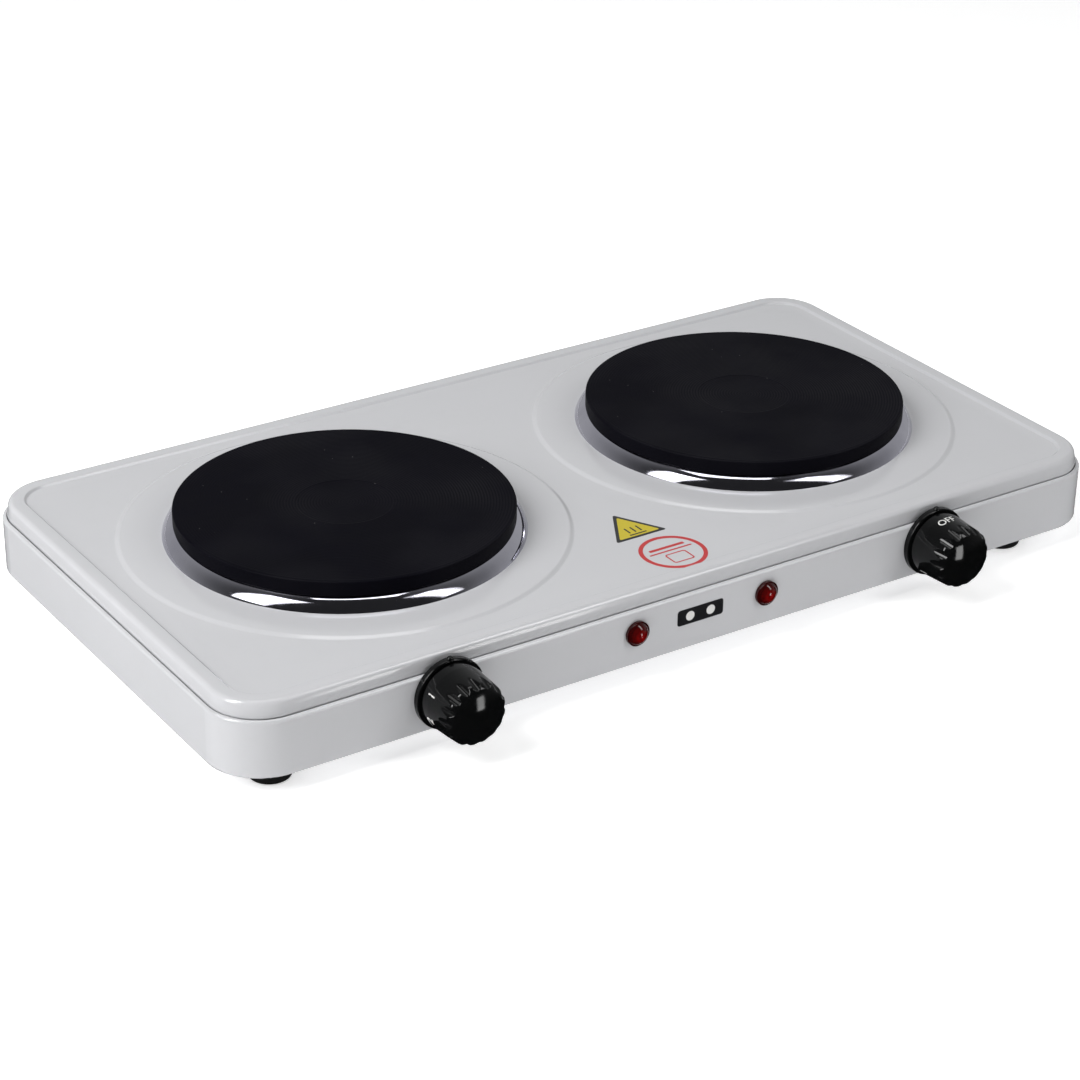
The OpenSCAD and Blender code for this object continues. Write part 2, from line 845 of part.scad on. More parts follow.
module terminal_block() {
    color("beige") placed() translate([-gland_x, block_y, 0]) difference() {
        block(-block_w / 2, block_w / 2, -block_d / 2, block_d / 2, floor_z, block_top_z);
        for (i = [-1 : 1])
            translate([i * block_screw_gap, 0, 0]) {
                disc(block_screw_r + snug, lead_z, block_top_z + through);
                translate([0, 0, lead_z]) rotate([90, 0, 0])
                    cylinder(r = wire_r + wire_fit, h = block_d + through, center = true);
            }
    }
}

module terminal_screws() {
    top = block_top_z - 1;
    color("goldenrod") placed() translate([-gland_x, block_y, 0])
        for (i = [-1 : 1])
            translate([i * block_screw_gap, 0, 0]) difference() {
                disc(block_screw_r, lead_z + wire_r + wire_fit, top);
                block(-0.3, 0.3, -block_screw_gap, block_screw_gap, top - 1, top + through);
            }
}

module earth_screw() {
    color("goldenrod") placed() translate([earth_x, earth_y, 0]) difference() {
        union() {
            disc(1.9, floor_z, floor_z + 6);
            disc(3.4, floor_z + 6, floor_z + 8);
        }
        block(-0.4, 0.4, -4, 4, floor_z + 7.2, floor_z + 9);
    }
}

// From the terminal block, over the pan floor to the rear of a thermostat block.
module supply_lead(side) {
    start_x = -gland_x + side * block_screw_gap;
    turn_y = lead_rear_y + side * 5;
    goal_x = side * (knob_x - tab_pitch) - controls_shift;
    color("saddlebrown") placed() wire([
        [start_x, block_y - block_d / 2 + lead_in, lead_z],
        [start_x, turn_y, lead_z],
        [side * 20, turn_y, lead_z],
        [side * 20, lead_front_y, lead_z],
        [goal_x, lead_front_y, lead_z],
        [goal_x, -pan_d / 2 - block_back - lead_in, lead_z]]);
}

// From a thermostat block to the terminals under its plate.
module plate_lead(side) {
    start_x = side * (knob_x + tab_pitch) - controls_shift;
    goal_x = side * (plate_x + tab_pitch);
    goal_y = plate_y + terminal_y;
    color("steelblue") placed() wire([
        [start_x, -pan_d / 2 - block_back - lead_in, lead_z],
        [start_x, lead_turn_y, lead_z],
        [goal_x, lead_turn_y, lead_z],
        [goal_x, goal_y, lead_z],
        [goal_x, goal_y, cover_z - terminal_size[2] - tab_size[2] - wire_fit]]);
}

base_pan();
top_panel();
foot(-foot_left_x, -foot_y);  // front_left_foot
foot(foot_right_x, -foot_y);  // front_right_foot
foot(-foot_left_x, foot_y);  // rear_left_foot
foot(foot_right_x, foot_y);  // rear_right_foot
foot_screw(-foot_left_x, -foot_y);  // front_left_foot_screw
foot_screw(foot_right_x, -foot_y);  // front_right_foot_screw
foot_screw(-foot_left_x, foot_y);  // rear_left_foot_screw
foot_screw(foot_right_x, foot_y);  // rear_right_foot_screw
post(-foot_left_x, -foot_y);  // front_left_post
post(foot_right_x, -foot_y);  // front_right_post
post(-foot_left_x, foot_y);  // rear_left_post
post(foot_right_x, foot_y);  // rear_right_post
trim_ring(-1);  // left_trim_ring
trim_ring(1);  // right_trim_ring
hotplate(-1);  // left_hotplate
hotplate(1);  // right_hotplate
heating_coil(-1);  // left_heating_coil
heating_coil(1);  // right_heating_coil
insulation(-1);  // left_insulation
insulation(1);  // right_insulation
plate_cover(-1);  // left_plate_cover
plate_cover(1);  // right_plate_cover
clamp_bar(-1);  // left_clamp_bar
clamp_bar(1);  // right_clamp_bar
plate_stud(-1);  // left_plate_stud
plate_stud(1);  // right_plate_stud
clamp_nut(-1);  // left_clamp_nut
clamp_nut(1);  // right_clamp_nut
plate_terminals(-1);  // left_plate_terminals
plate_terminals(1);  // right_plate_terminals
knob(-1, left_knob_turn);  // left_knob
knob(1, right_knob_turn);  // right_knob
knob_spring(-1, left_knob_turn);  // left_knob_spring
knob_spring(1, right_knob_turn);  // right_knob_spring
shaft(-1, left_knob_turn);  // left_shaft
shaft(1, right_knob_turn);  // right_shaft
bezel(-1);  // left_bezel
bezel(1);  // right_bezel
thermostat_frame(-1);  // left_thermostat_frame
thermostat_frame(1);  // right_thermostat_frame
thermostat_block(-1);  // left_thermostat_block
thermostat_block(1);  // right_thermostat_block
bimetal_blade(-1);  // left_bimetal_blade
bimetal_blade(1);  // right_bimetal_blade
thermostat_screws(-1);  // left_thermostat_screws
thermostat_screws(1);  // right_thermostat_screws
lamp_lens(-1);  // left_lamp_lens
lamp_lens(1);  // right_lamp_lens
lamp_bulb(-1);  // left_lamp_bulb
lamp_bulb(1);  // right_lamp_bulb
cord_gland();
terminal_block();
terminal_screws();
earth_screw();
supply_lead(-1);  // left_supply_lead
supply_lead(1);  // right_supply_lead
plate_lead(-1);  // left_plate_lead
plate_lead(1);  // right_plate_lead
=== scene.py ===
import json
import math

import bmesh
import bpy
from mathutils import Matrix, Vector
from mathutils.geometry import delaunay_2d_cdt


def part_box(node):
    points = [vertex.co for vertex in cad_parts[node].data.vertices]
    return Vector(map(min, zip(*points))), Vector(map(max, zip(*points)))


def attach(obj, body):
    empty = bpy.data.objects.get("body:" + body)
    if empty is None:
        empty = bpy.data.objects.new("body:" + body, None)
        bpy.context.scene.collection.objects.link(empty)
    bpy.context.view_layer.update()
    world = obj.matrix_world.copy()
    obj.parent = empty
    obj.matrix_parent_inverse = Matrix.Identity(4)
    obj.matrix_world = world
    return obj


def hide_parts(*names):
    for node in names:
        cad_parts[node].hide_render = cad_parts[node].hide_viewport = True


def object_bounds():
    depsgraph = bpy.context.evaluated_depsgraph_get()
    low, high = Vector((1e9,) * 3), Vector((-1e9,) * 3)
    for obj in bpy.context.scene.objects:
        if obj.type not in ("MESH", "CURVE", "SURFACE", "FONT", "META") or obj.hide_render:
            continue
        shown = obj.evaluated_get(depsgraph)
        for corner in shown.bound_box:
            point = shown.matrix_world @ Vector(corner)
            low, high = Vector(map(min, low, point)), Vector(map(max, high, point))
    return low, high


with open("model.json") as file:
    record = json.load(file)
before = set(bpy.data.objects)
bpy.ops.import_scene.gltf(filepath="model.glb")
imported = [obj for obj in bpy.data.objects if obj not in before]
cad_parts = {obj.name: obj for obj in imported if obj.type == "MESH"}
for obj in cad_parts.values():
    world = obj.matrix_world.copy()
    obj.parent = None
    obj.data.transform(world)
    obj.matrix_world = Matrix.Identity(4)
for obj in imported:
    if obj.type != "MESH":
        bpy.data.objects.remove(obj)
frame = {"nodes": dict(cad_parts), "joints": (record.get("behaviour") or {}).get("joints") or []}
cad_low, cad_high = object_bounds()

MM = 0.001

# ---- what the frame says ----

pan_low, pan_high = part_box("base_pan")
panel_low, panel_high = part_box("top_panel")
JOINTS = {j["name"]: j for j in frame["joints"]}
SIDES = ("left", "right")
WALL_Y = pan_low.y
SEAM_Z = pan_high.z
RIM_Z = panel_high.z

# Sizes of the pressed panel
SHEET = 0.8 * MM
PANEL_CORNER = 24 * MM
PANEL_BEND = 2.6 * MM
RIM_BAND = 8.0 * MM
STEP_RUN = 1.7 * MM
SKIRT_DRAFT = 0.8 * MM
SKIRT_LEAN = 9
SEAM_JOGGLE = 0.27 * MM
JOGGLE_LOW = 0.1 * MM
JOGGLE_HIGH = 0.6 * MM
FIELD_DROP = 1.2 * MM
LAND_RISE = 1.0 * MM
LAND_R = 104 * MM
LAND_RUN = 3.0 * MM
LAND_MARGIN = 0.05 * MM
LAND_STRIP = 8 * MM
HOLE_R = 73 * MM
HOLE_STRIP = 6 * MM
FIELD_Z = RIM_Z - FIELD_DROP
LAND_Z = FIELD_Z + LAND_RISE
FIELD_GRID = 9 * MM
CORNER_POINTS = 20
BEND_POINTS = 14
STEP_POINTS = 12
GRID_MARGIN = 0.4
CREASE_ANGLE = 40
PLATE_CREASE = 50
RING_SEGMENTS = 256

# Sizes of a plate and its trim ring
PLATE_EDGE = 0.9 * MM
DIMPLE_R = 22.5 * MM
DIMPLE_DEPTH = 0.2 * MM
DIMPLE_RUN = 0.9 * MM
GROOVE_MARGIN = 1.2 * MM
GROOVE_PITCH = 1.35 * MM
GROOVE_DEPTH = 0.035 * MM
GROOVE_POINTS = 6
CASTING_R = 70.5 * MM
CASTING_DEPTH = 7.4 * MM
RING_T = 0.5 * MM
RING_SWEEP = (22, 68)
RING_TOP_RUN = 0.4 * MM
RING_INNER_R = 71 * MM
RING_PATH = 0.9
RIGHT_PLATE_TONE = 0.08
PLATE_EDGE_POINTS = 6
DIMPLE_POINTS = 4
RING_OUTSIDE_POINTS = 28
RING_INSIDE_POINTS = 16

# Sizes of a knob, with heights measured out of the wall
KNOB_BACK = 3.6 * MM
KNOB_STRAIGHT = 5 * MM
KNOB_R = 15.2 * MM
KNOB_FRONT_R = 14.5 * MM
KNOB_REACH = 26.8 * MM
KNOB_EDGE = 4 * MM
KNOB_DOME = 34 * MM
KNOB_WALL = 1.5 * MM
KNOB_HOLLOW = 11 * MM
HUB_R = 5.4 * MM
HUB_BACK = 4.6 * MM
KNOB_CHAMFER = 0.25 * MM
KNOB_EDGE_MID = KNOB_FRONT_R - KNOB_EDGE
KNOB_DOME_MID = KNOB_REACH - KNOB_DOME
KNOB_SHOULDER = KNOB_DOME_MID + math.sqrt((KNOB_DOME - KNOB_EDGE) ** 2 - KNOB_EDGE_MID ** 2)
EDGE_POINTS = 24
DOME_POINTS = 26
STRAIGHT_STEP = 0.6 * MM
TAPER_STEP = 0.22 * MM
SHAFT_BORE_R = 3.05 * MM
BORE_END = 17 * MM
FLUTES = 16
FLUTE_R = 2.4 * MM
FLUTE_START = 16.5 * MM
FLUTE_SLOPE = 0.29
FLUTE_SOFT = 0.14 * MM
FLUTE_POINTS = 22
MARK_SIZE = 6.2 * MM
MARK_MIDDLE = 9.4 * MM
MARK_LIFT = 0.04 * MM
MARK_WEIGHT = 0.05
MARK_SLICE = 0.3 * MM
WORD_SCALE = 0.86
# Each mark: word, degrees clockwise from the top when the knob is off, and a shift outwards in millimetres
MARKS = (("OFF", -6, 1.5), ("1", -130, 0), ("2", -175, 0), ("3", -220, 0), ("4", -265, 0))


# ---- shader building ----


class Term:
    """A shader socket that adds, multiplies and compares as a number does."""

    def __init__(self, shader, socket):
        self.shader, self.socket = shader, socket

    def _op(self, operation, a, b=None):
        return self.shader.math(operation, a, b)

    def __add__(self, other):
        return self._op("ADD", self, other)

    __radd__ = __add__

    def __mul__(self, other):
        return self._op("MULTIPLY", self, other)

    __rmul__ = __mul__

    def power(self, other):
        return self._op("POWER", self, other)

    def above(self, limit):
        return self._op("GREATER_THAN", self, limit)

    def sine(self):
        return self._op("SINE", self)


class Shader:
    """The nodes of one material or world. Every node goes through node()."""

    def __init__(self, name, kind="materials"):
        self.owner = getattr(bpy.data, kind).new(name)
        self.owner.use_nodes = True
        self.tree = self.owner.node_tree
        self.tree.nodes.clear()

    def node(self, kind, settings=None, sockets=None):
        made = self.tree.nodes.new(kind)
        for key, value in (settings or {}).items():
            setattr(made, key, value)
        for key, value in (sockets or {}).items():
            self.put(made.inputs[key], value)
        return made

    def put(self, target, value):
        if isinstance(value, Term):
            self.tree.links.new(value.socket, target)
        elif isinstance(value, bpy.types.NodeSocket):
            self.tree.links.new(value, target)
        else:
            target.default_value = value

    def math(self, operation, a, b=None):
        sockets = {0: a} if b is None else {0: a, 1: b}
        made = self.node("ShaderNodeMath", {"operation": operation}, sockets)
        return Term(self, made.outputs[0])

    def vector(self, operation, a, b):
        made = self.node("ShaderNodeVectorMath", {"operation": operation}, {0: a, 1: b})
        return made.outputs[0]

    def place(self, centre=(0, 0, 0)):
        """Object coordinates in millimetres about a centre."""
        coords = self.node("ShaderNodeTexCoord")
        mapped = self.node("ShaderNodeMapping", None, {
            "Vector": coords.outputs["Object"],
            "Location": [-c / MM for c in centre],
            "Scale": [1 / MM] * 3,
        })
        return mapped.outputs["Vector"]

    def noise(self, vector, scale, detail=3.0, roughness=0.5):
        made = self.node("ShaderNodeTexNoise", None, {
            "Vector": vector, "Scale": scale, "Detail": detail, "Roughness": roughness})
        return Term(self, made.outputs[0])

    def cells(self, vector, scale):
        made = self.node("ShaderNodeTexVoronoi", None, {"Vector": vector, "Scale": scale})
        return Term(self, made.outputs["Distance"])

    def scale_to(self, value, low, high, out_low=0.0, out_high=1.0):
        made = self.node("ShaderNodeMapRange", {"clamp": True}, {
            "Value": value, "From Min": low, "From Max": high,
            "To Min": out_low, "To Max": out_high})
        return Term(self, made.outputs["Result"])

    def blend(self, factor, a, b):
        made = self.node("ShaderNodeMix", {"data_type": "RGBA"})
        self.put(made.inputs[0], factor)
        self.put(made.inputs[6], a)
        self.put(made.inputs[7], b)
        return made.outputs[2]

    def radius(self, vector, plane="XY"):
        parts = self.node("ShaderNodeSeparateXYZ", None, {0: vector}).outputs
        a, b = (Term(self, parts[axis]) for axis in plane)
        return (a * a + b * b).power(0.5)

    def finish(self, colour, roughness, height=None, bump=0.3, distance=0.1, **constants):
        """Joins a material's surface. Height is in millimetres; constants are the shader's own inputs."""
        surface = self.node("ShaderNodeBsdfPrincipled", None, {
            "Base Color": colour, "Roughness": roughness})
        for key, value in constants.items():
            self.put(surface.inputs[key.replace("_", " ")], value)
        if height is not None:
            lift = self.node("ShaderNodeBump", None, {
                "Strength": bump, "Distance": distance * MM, "Height": height})
            self.put(surface.inputs["Normal"], lift.outputs["Normal"])
        self.node("ShaderNodeOutputMaterial", None, {"Surface": surface.outputs[0]})
        return self.owner


def grey(level, tint=(1, 1, 1)):
    return (level * tint[0], level * tint[1], level * tint[2], 1.0)


ENAMEL_TINT = (0.985, 0.99, 1.02)
ENAMEL_LEVELS = (0.60, 0.64)
GRIME_LEVEL = 0.50
IRON_DEEP = grey(0.0022, (0.84, 0.80, 1.55))
IRON_PALE = grey(0.0052, (0.86, 0.82, 1.48))
IRON_CUT = grey(0.0135, (0.94, 0.92, 1.15))
IRON_SPECK = grey(0.10)
CHROME_BRIGHT = grey(0.62, (0.97, 0.96, 1.08))
CHROME_HAZE = grey(0.52, (0.96, 0.95, 1.10))
PLASTIC_BLACK = grey(0.0035, (0.95, 1.0, 1.06))
PLASTIC_DUST = grey(0.08)
LENS_DEEP = (0.032, 0.0010, 0.0010, 1)
# Painted glow: the lens's lighter red, standing in for light seen through the lens
LENS_PAINTED_GLOW = (0.30, 0.003, 0.003, 1)
METAL_GRAIN = 0.6
STONE_GRAIN = 0.9


def enamel():
    s = Shader("enamel")
    at = s.place()
    ripple = s.noise(at, 0.020, 1.0)
    peel = s.noise(at, 0.55, 2.0)
    tone = s.noise(at, 0.012, 3.0)
    grime = s.scale_to(s.noise(at, 0.16, 6.0, 0.65), 0.56, 0.80)
    colour = s.blend(tone, *(grey(level, ENAMEL_TINT) for level in ENAMEL_LEVELS))
    colour = s.blend(grime * 0.10, colour, grey(GRIME_LEVEL))
    rough = s.scale_to(peel, 0.3, 0.7, 0.14, 0.20) + grime * 0.06
    height = ripple * 1.0 + peel * 0.012
    return s.finish(colour, rough, height, 0.12, 1.0, IOR=1.5, Coat_Weight=0.30, Coat_Roughness=0.07)


def cast_iron(name, centre=(0, 0, 0), tone_shift=0.0):
    """Blue-black turned iron. The tool marks run round the plate's centre."""
    s = Shader(name)
    at = s.place(centre)
    grain = s.noise(at, 2.4, 4.0, 0.7)
    mottle = s.noise(at, 0.045, 3.0)
    out = s.radius(at)
    wander = s.noise(at, 0.02, 2.0)
    marks = (out * (2 * math.pi / (GROOVE_PITCH / MM)) + wander * 2.0).sine() * 0.5 + 0.5
    patchy = s.scale_to(s.noise(at, 0.016, 2.0), 0.42 - tone_shift, 0.62 - tone_shift)
    specks = s.scale_to(s.cells(at, 0.16), 0.05, 0.028)
    colour = s.blend(mottle, IRON_DEEP, IRON_PALE)
    colour = s.blend(marks * patchy * 0.75, colour, IRON_CUT)
    colour = s.blend(specks * s.noise(at, 0.05).above(0.56), colour, IRON_SPECK)
    rough = s.scale_to(mottle + grain * 0.35, 0.4, 1.0, 0.40, 0.58)
    return s.finish(colour, rough, grain + marks * 0.8, 0.30, 0.05, Specular_IOR_Level=0.022)


def chrome():
    s = Shader("chrome_trim")
    at = s.place()
    streaks = s.noise(at, 0.35, 4.0, 0.6)
    haze = s.scale_to(s.noise(at, 0.05, 4.0), 0.4, 0.75)
    colour = s.blend(haze, CHROME_BRIGHT, CHROME_HAZE)
    rough = s.scale_to(streaks, 0.3, 0.7, 0.035, 0.085) + haze * 0.03
    return s.finish(colour, rough, streaks, 0.06, 0.05, Metallic=1.0)


def black_plastic():
    s = Shader("black_plastic")
    at = s.place()
    fine = s.noise(at, 1.6, 3.0)
    smudge = s.scale_to(s.noise(at, 0.14, 4.0), 0.45, 0.75)
    dust = s.scale_to(s.cells(at, 0.9), 0.10, 0.05) * s.noise(at, 0.3).above(0.58)
    colour = s.blend(dust * 0.25, PLASTIC_BLACK, PLASTIC_DUST)
    rough = 0.07 + smudge * 0.06 + fine * 0.02
    return s.finish(colour, rough, fine, 0.05, 0.06, IOR=1.36)


def foot_rubber():
    s = Shader("foot_rubber")
    at = s.place()
    grain = s.noise(at, 1.8, 4.0, 0.7)
    dust = s.scale_to(s.noise(at, 0.4, 4.0), 0.5, 0.8)
    colour = s.blend(dust * 0.4, grey(0.008), grey(0.028))
    return s.finish(colour, 0.55 + grain * 0.2, grain, 0.4, 0.12)


def gland_nylon():
    s = Shader("gland_nylon")
    at = s.place()
    grain = s.noise(at, 1.1, 3.0)
    colour = s.blend(grain, grey(0.006), grey(0.012))
    return s.finish(colour, 0.32 + grain * 0.12, grain, 0.2, 0.08)


def red_lens(name, centre):
    """Dark glossy red, painted lighter in the middle: a painted glow that stands in for light coming through
    the lens off the reflector, with a faint painted ring pattern of that reflector.
    """
    s = Shader(name)
    at = s.place(centre)
    spot = s.radius(at, "XZ")
    rings = (spot * 3.4).sine() * 0.5 + 0.5
    facets = s.cells(at, 0.75)
    cloud = s.noise(at, 0.5, 3.0)
    # painted glow: the base colour is lightened towards the lens's middle to stand in for light seen through
    # it, with painted reflector rings
    painted_glow = s.scale_to(spot, 4.6, 0.6) * (0.35 + cloud * 0.9)
    colour = s.blend(painted_glow * (0.35 + rings * 0.3 + facets * 0.3), LENS_DEEP, LENS_PAINTED_GLOW)
    rough = 0.07 + cloud * 0.05
    return s.finish(colour, rough, facets, 0.12, 0.10, IOR=1.45, Coat_Weight=0.1, Coat_Roughness=0.03)


def metal(name, colour_a, colour_b, low, high):
    s = Shader(name)
    at = s.place()
    grain = s.noise(at, METAL_GRAIN, 4.0, 0.6)
    stain = s.scale_to(s.noise(at, METAL_GRAIN * 0.15, 4.0), 0.4, 0.75)
    colour = s.blend(stain, colour_a, colour_b)
    rough = s.scale_to(grain, 0.3, 0.7, low, high) + stain * 0.08
    return s.finish(colour, rough, grain, 0.15, 0.08, Metallic=1.0)


def stone(name, colour_a, colour_b, low, high):
    """A dull surface that isn't metal: ceramic, powder or plastic sleeve."""
    s = Shader(name)
    at = s.place()
    grain = s.noise(at, STONE_GRAIN, 5.0, 0.65)
    stain = s.scale_to(s.noise(at, STONE_GRAIN * 0.12, 4.0), 0.42, 0.8)
    colour = s.blend(stain, colour_a, colour_b)
    rough = s.scale_to(grain, 0.3, 0.7, low, high)
    return s.finish(colour, rough, grain, 0.35, 0.12)


def ink(name, colour, roughness):
    s = Shader(name)
    at = s.place()
    mottle = s.noise(at, 1.3, 4.0, 0.6)
    worn = s.scale_to(s.noise(at, 0.5, 5.0, 0.7), 0.60, 0.85)
    faded = s.vector("MULTIPLY", colour[:3], (0.86, 0.86, 0.86))
    tint = s.blend(worn, colour, faded)
    return s.finish(tint, roughness + mottle * 0.1, mottle, 0.08, 0.02, Coat_Weight=0.2)


def floor_paint():
    s = Shader("floor_paint")
    at = s.place()
    tone = s.noise(at, 0.004, 2.0)
    colour = s.blend(tone, grey(0.86), grey(0.88))
    return s.finish(colour, 0.85, None, Emission_Color=grey(1.0), Emission_Strength=0.51,
        Specular_IOR_Level=0.1)


ENAMEL = enamel()
IRON = cast_iron("cast_iron")
CHROME = chrome()
PLASTIC = black_plastic()
SLOT_MATERIALS = {
    "enamel": ENAMEL,
    "cast_iron": IRON,
    "chrome_trim": CHROME,
    "black_plastic": PLASTIC,
    "foot_rubber": foot_rubber(),
    "gland_nylon": gland_nylon(),
    "lamp_glass": stone("lamp_glass", (0.55, 0.20, 0.10, 1), (0.40, 0.12, 0.06, 1), 0.06, 0.12),
    "resistance_wire": metal("resistance_wire", (0.30, 0.24, 0.20, 1), (0.18, 0.14, 0.12, 1), 0.35, 0.5),
    "magnesia": stone("magnesia", (0.72, 0.69, 0.62, 1), (0.55, 0.52, 0.46, 1), 0.8, 0.95),
    "ceramic": stone("ceramic", (0.74, 0.70, 0.60, 1), (0.60, 0.56, 0.48, 1), 0.35, 0.5),
    "brass": metal("brass", (0.72, 0.52, 0.22, 1), (0.50, 0.35, 0.15, 1), 0.22, 0.35),
    "lead_sleeve": stone("lead_sleeve", (0.30, 0.29, 0.27, 1), (0.20, 0.19, 0.18, 1), 0.5, 0.7),
    "plated_steel": metal("plated_steel", (0.58, 0.58, 0.60, 1), (0.42, 0.42, 0.43, 1), 0.22, 0.38),
}


# ---- mesh building ----


def make_piece(name, mesh, material, body, replaced=()):
    """Puts a finished mesh into the scene and ties it to the frame."""
    piece = bpy.data.objects.new(name, mesh)
    bpy.context.scene.collection.objects.link(piece)
    if material is not None:
        mesh.materials.clear()
        mesh.materials.append(material)
    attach(piece, body)
    for node in replaced:
        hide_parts(node)
    return piece


def mesh_of(name, vertices, faces, smooth=True):
    mesh = bpy.data.meshes.new(name)
    mesh.from_pydata([tuple(v) for v in vertices], [], faces)
    mesh.update()
    face_outward(mesh)
    mesh.polygons.foreach_set("use_smooth", [smooth] * len(mesh.polygons))
    return mesh


def face_outward(mesh):
    work = bmesh.new()
    work.from_mesh(mesh)
    bmesh.ops.remove_doubles(work, verts=work.verts, dist=1e-7)
    bmesh.ops.recalc_face_normals(work, faces=work.faces)
    work.to_mesh(mesh)
    work.free()


def crease(mesh, degrees):
    """Keeps edges that are sharper than the angle crisp."""
    work = bmesh.new()
    work.from_mesh(mesh)
    limit = math.radians(degrees)
    for edge in work.edges:
        if len(edge.link_faces) == 2 and edge.calc_face_angle(0) > limit:
            edge.smooth = False
    work.to_mesh(mesh)
    work.free()


def baked(piece):
    """The evaluated mesh of an object with modifiers, as a plain mesh; the object is removed."""
    graph = bpy.context.evaluated_depsgraph_get()
    mesh = bpy.data.meshes.new_from_object(piece.evaluated_get(graph))
    mesh.name = piece.name
    bpy.data.objects.remove(piece)
    return mesh


def s_curve(start, end, count):
    """Points from one (across, height) to another that leave and arrive level."""
    points = []
    for i in range(1, count + 1):
        t = i / count
        rise = (1 - math.cos(math.pi * t)) / 2
        points.append((start[0] + (end[0] - start[0]) * t, start[1] + (end[1] - start[1]) * rise))
    return points


def arc(centre, radius, start, end, count):
    """Points on an arc, in (across, height), with angles in degrees."""
    points = []
    for i in range(count + 1):
        a = math.radians(start + (end - start) * i / count)
        points.append((centre[0] + radius * math.cos(a), centre[1] + radius * math.sin(a)))
    return points


def fine_line(start, end, step):
    count = max(1, round(math.dist(start, end) / step))
    return [(start[0] + (end[0] - start[0]) * i / count, start[1] + (end[1] - start[1]) * i / count)
        for i in range(1, count + 1)]


def turned_group():
    """Geometry Nodes: sweeps the object's section polyline round a circle and closes the poles."""
    group = bpy.data.node_groups.new("turned_section", "GeometryNodeTree")
    face = group.interface
    face.new_socket("Geometry", in_out="INPUT", socket_type="NodeSocketGeometry")
    segments = face.new_socket("Segments", in_out="INPUT", socket_type="NodeSocketInt")
    radius = face.new_socket("Path Radius", in_out="INPUT", socket_type="NodeSocketFloat")
    material = face.new_socket("Material", in_out="INPUT", socket_type="NodeSocketMaterial")
    face.new_socket("Geometry", in_out="OUTPUT", socket_type="NodeSocketGeometry")
    nodes, links = group.nodes, group.links
    given = nodes.new("NodeGroupInput")
    section = nodes.new("GeometryNodeMeshToCurve")
    path = nodes.new("GeometryNodeCurvePrimitiveCircle")
    sweep = nodes.new("GeometryNodeCurveToMesh")
    weld = nodes.new("GeometryNodeMergeByDistance")
    weld.inputs["Distance"].default_value = 1e-6
    real = nodes.new("GeometryNodeRealizeInstances")
    paint = nodes.new("GeometryNodeSetMaterial")
    out = nodes.new("NodeGroupOutput")
    links.new(given.outputs["Geometry"], section.inputs[0])
    links.new(given.outputs["Segments"], path.inputs["Resolution"])
    links.new(given.outputs["Path Radius"], path.inputs["Radius"])
    links.new(path.outputs["Curve"], sweep.inputs["Curve"])
    links.new(section.outputs[0], sweep.inputs["Profile Curve"])
    links.new(sweep.outputs[0], weld.inputs["Geometry"])
    links.new(weld.outputs[0], real.inputs[0])
    links.new(real.outputs[0], paint.inputs["Geometry"])
    links.new(given.outputs["Material"], paint.inputs["Material"])
    links.new(paint.outputs[0], out.inputs[0])
    return group, {"segments": segments.identifier, "radius": radius.identifier,
        "material": material.identifier}


TURNED, TURNED_INPUTS = turned_group()


def turned(name, section, path_radius, centre, material, closed=True):
    """A turned mesh from (radius, height) points, about a vertical axis through the centre."""
    points = [(r - path_radius, -z, 0) for r, z in section]
    count = len(points)
    edges = [(i, (i + 1) % count) for i in range(count if closed else count - 1)]
    mesh = bpy.data.meshes.new(name)
    mesh.from_pydata(points, edges, [])
    maker = bpy.data.objects.new(name, mesh)
    bpy.context.scene.collection.objects.link(maker)
    step = maker.modifiers.new("turned", "NODES")
    step.node_group = TURNED
    step[TURNED_INPUTS["segments"]] = RING_SEGMENTS
    step[TURNED_INPUTS["radius"]] = path_radius
    step[TURNED_INPUTS["material"]] = material
    made = baked(maker)
    made.transform(Matrix.Translation(centre))
    face_outward(made)
    made.polygons.foreach_set("use_smooth", [True] * len(made.polygons))
    return made


# ---- the pressed top panel ----


def rounded_loop(half_w, half_d, corner):
    """Points round a rounded rectangle, anticlockwise from the right side."""
    points = []
    for quarter in range(4):
        cx = (half_w - corner) * (1 if quarter in (0, 3) else -1)
        cy = (half_d - corner) * (1 if quarter in (0, 1) else -1)
        for i in range(CORNER_POINTS + 1):
            a = math.radians(quarter * 90 + 90 * i / CORNER_POINTS)
            points.append((cx + corner * math.cos(a), cy + corner * math.sin(a)))
    return points


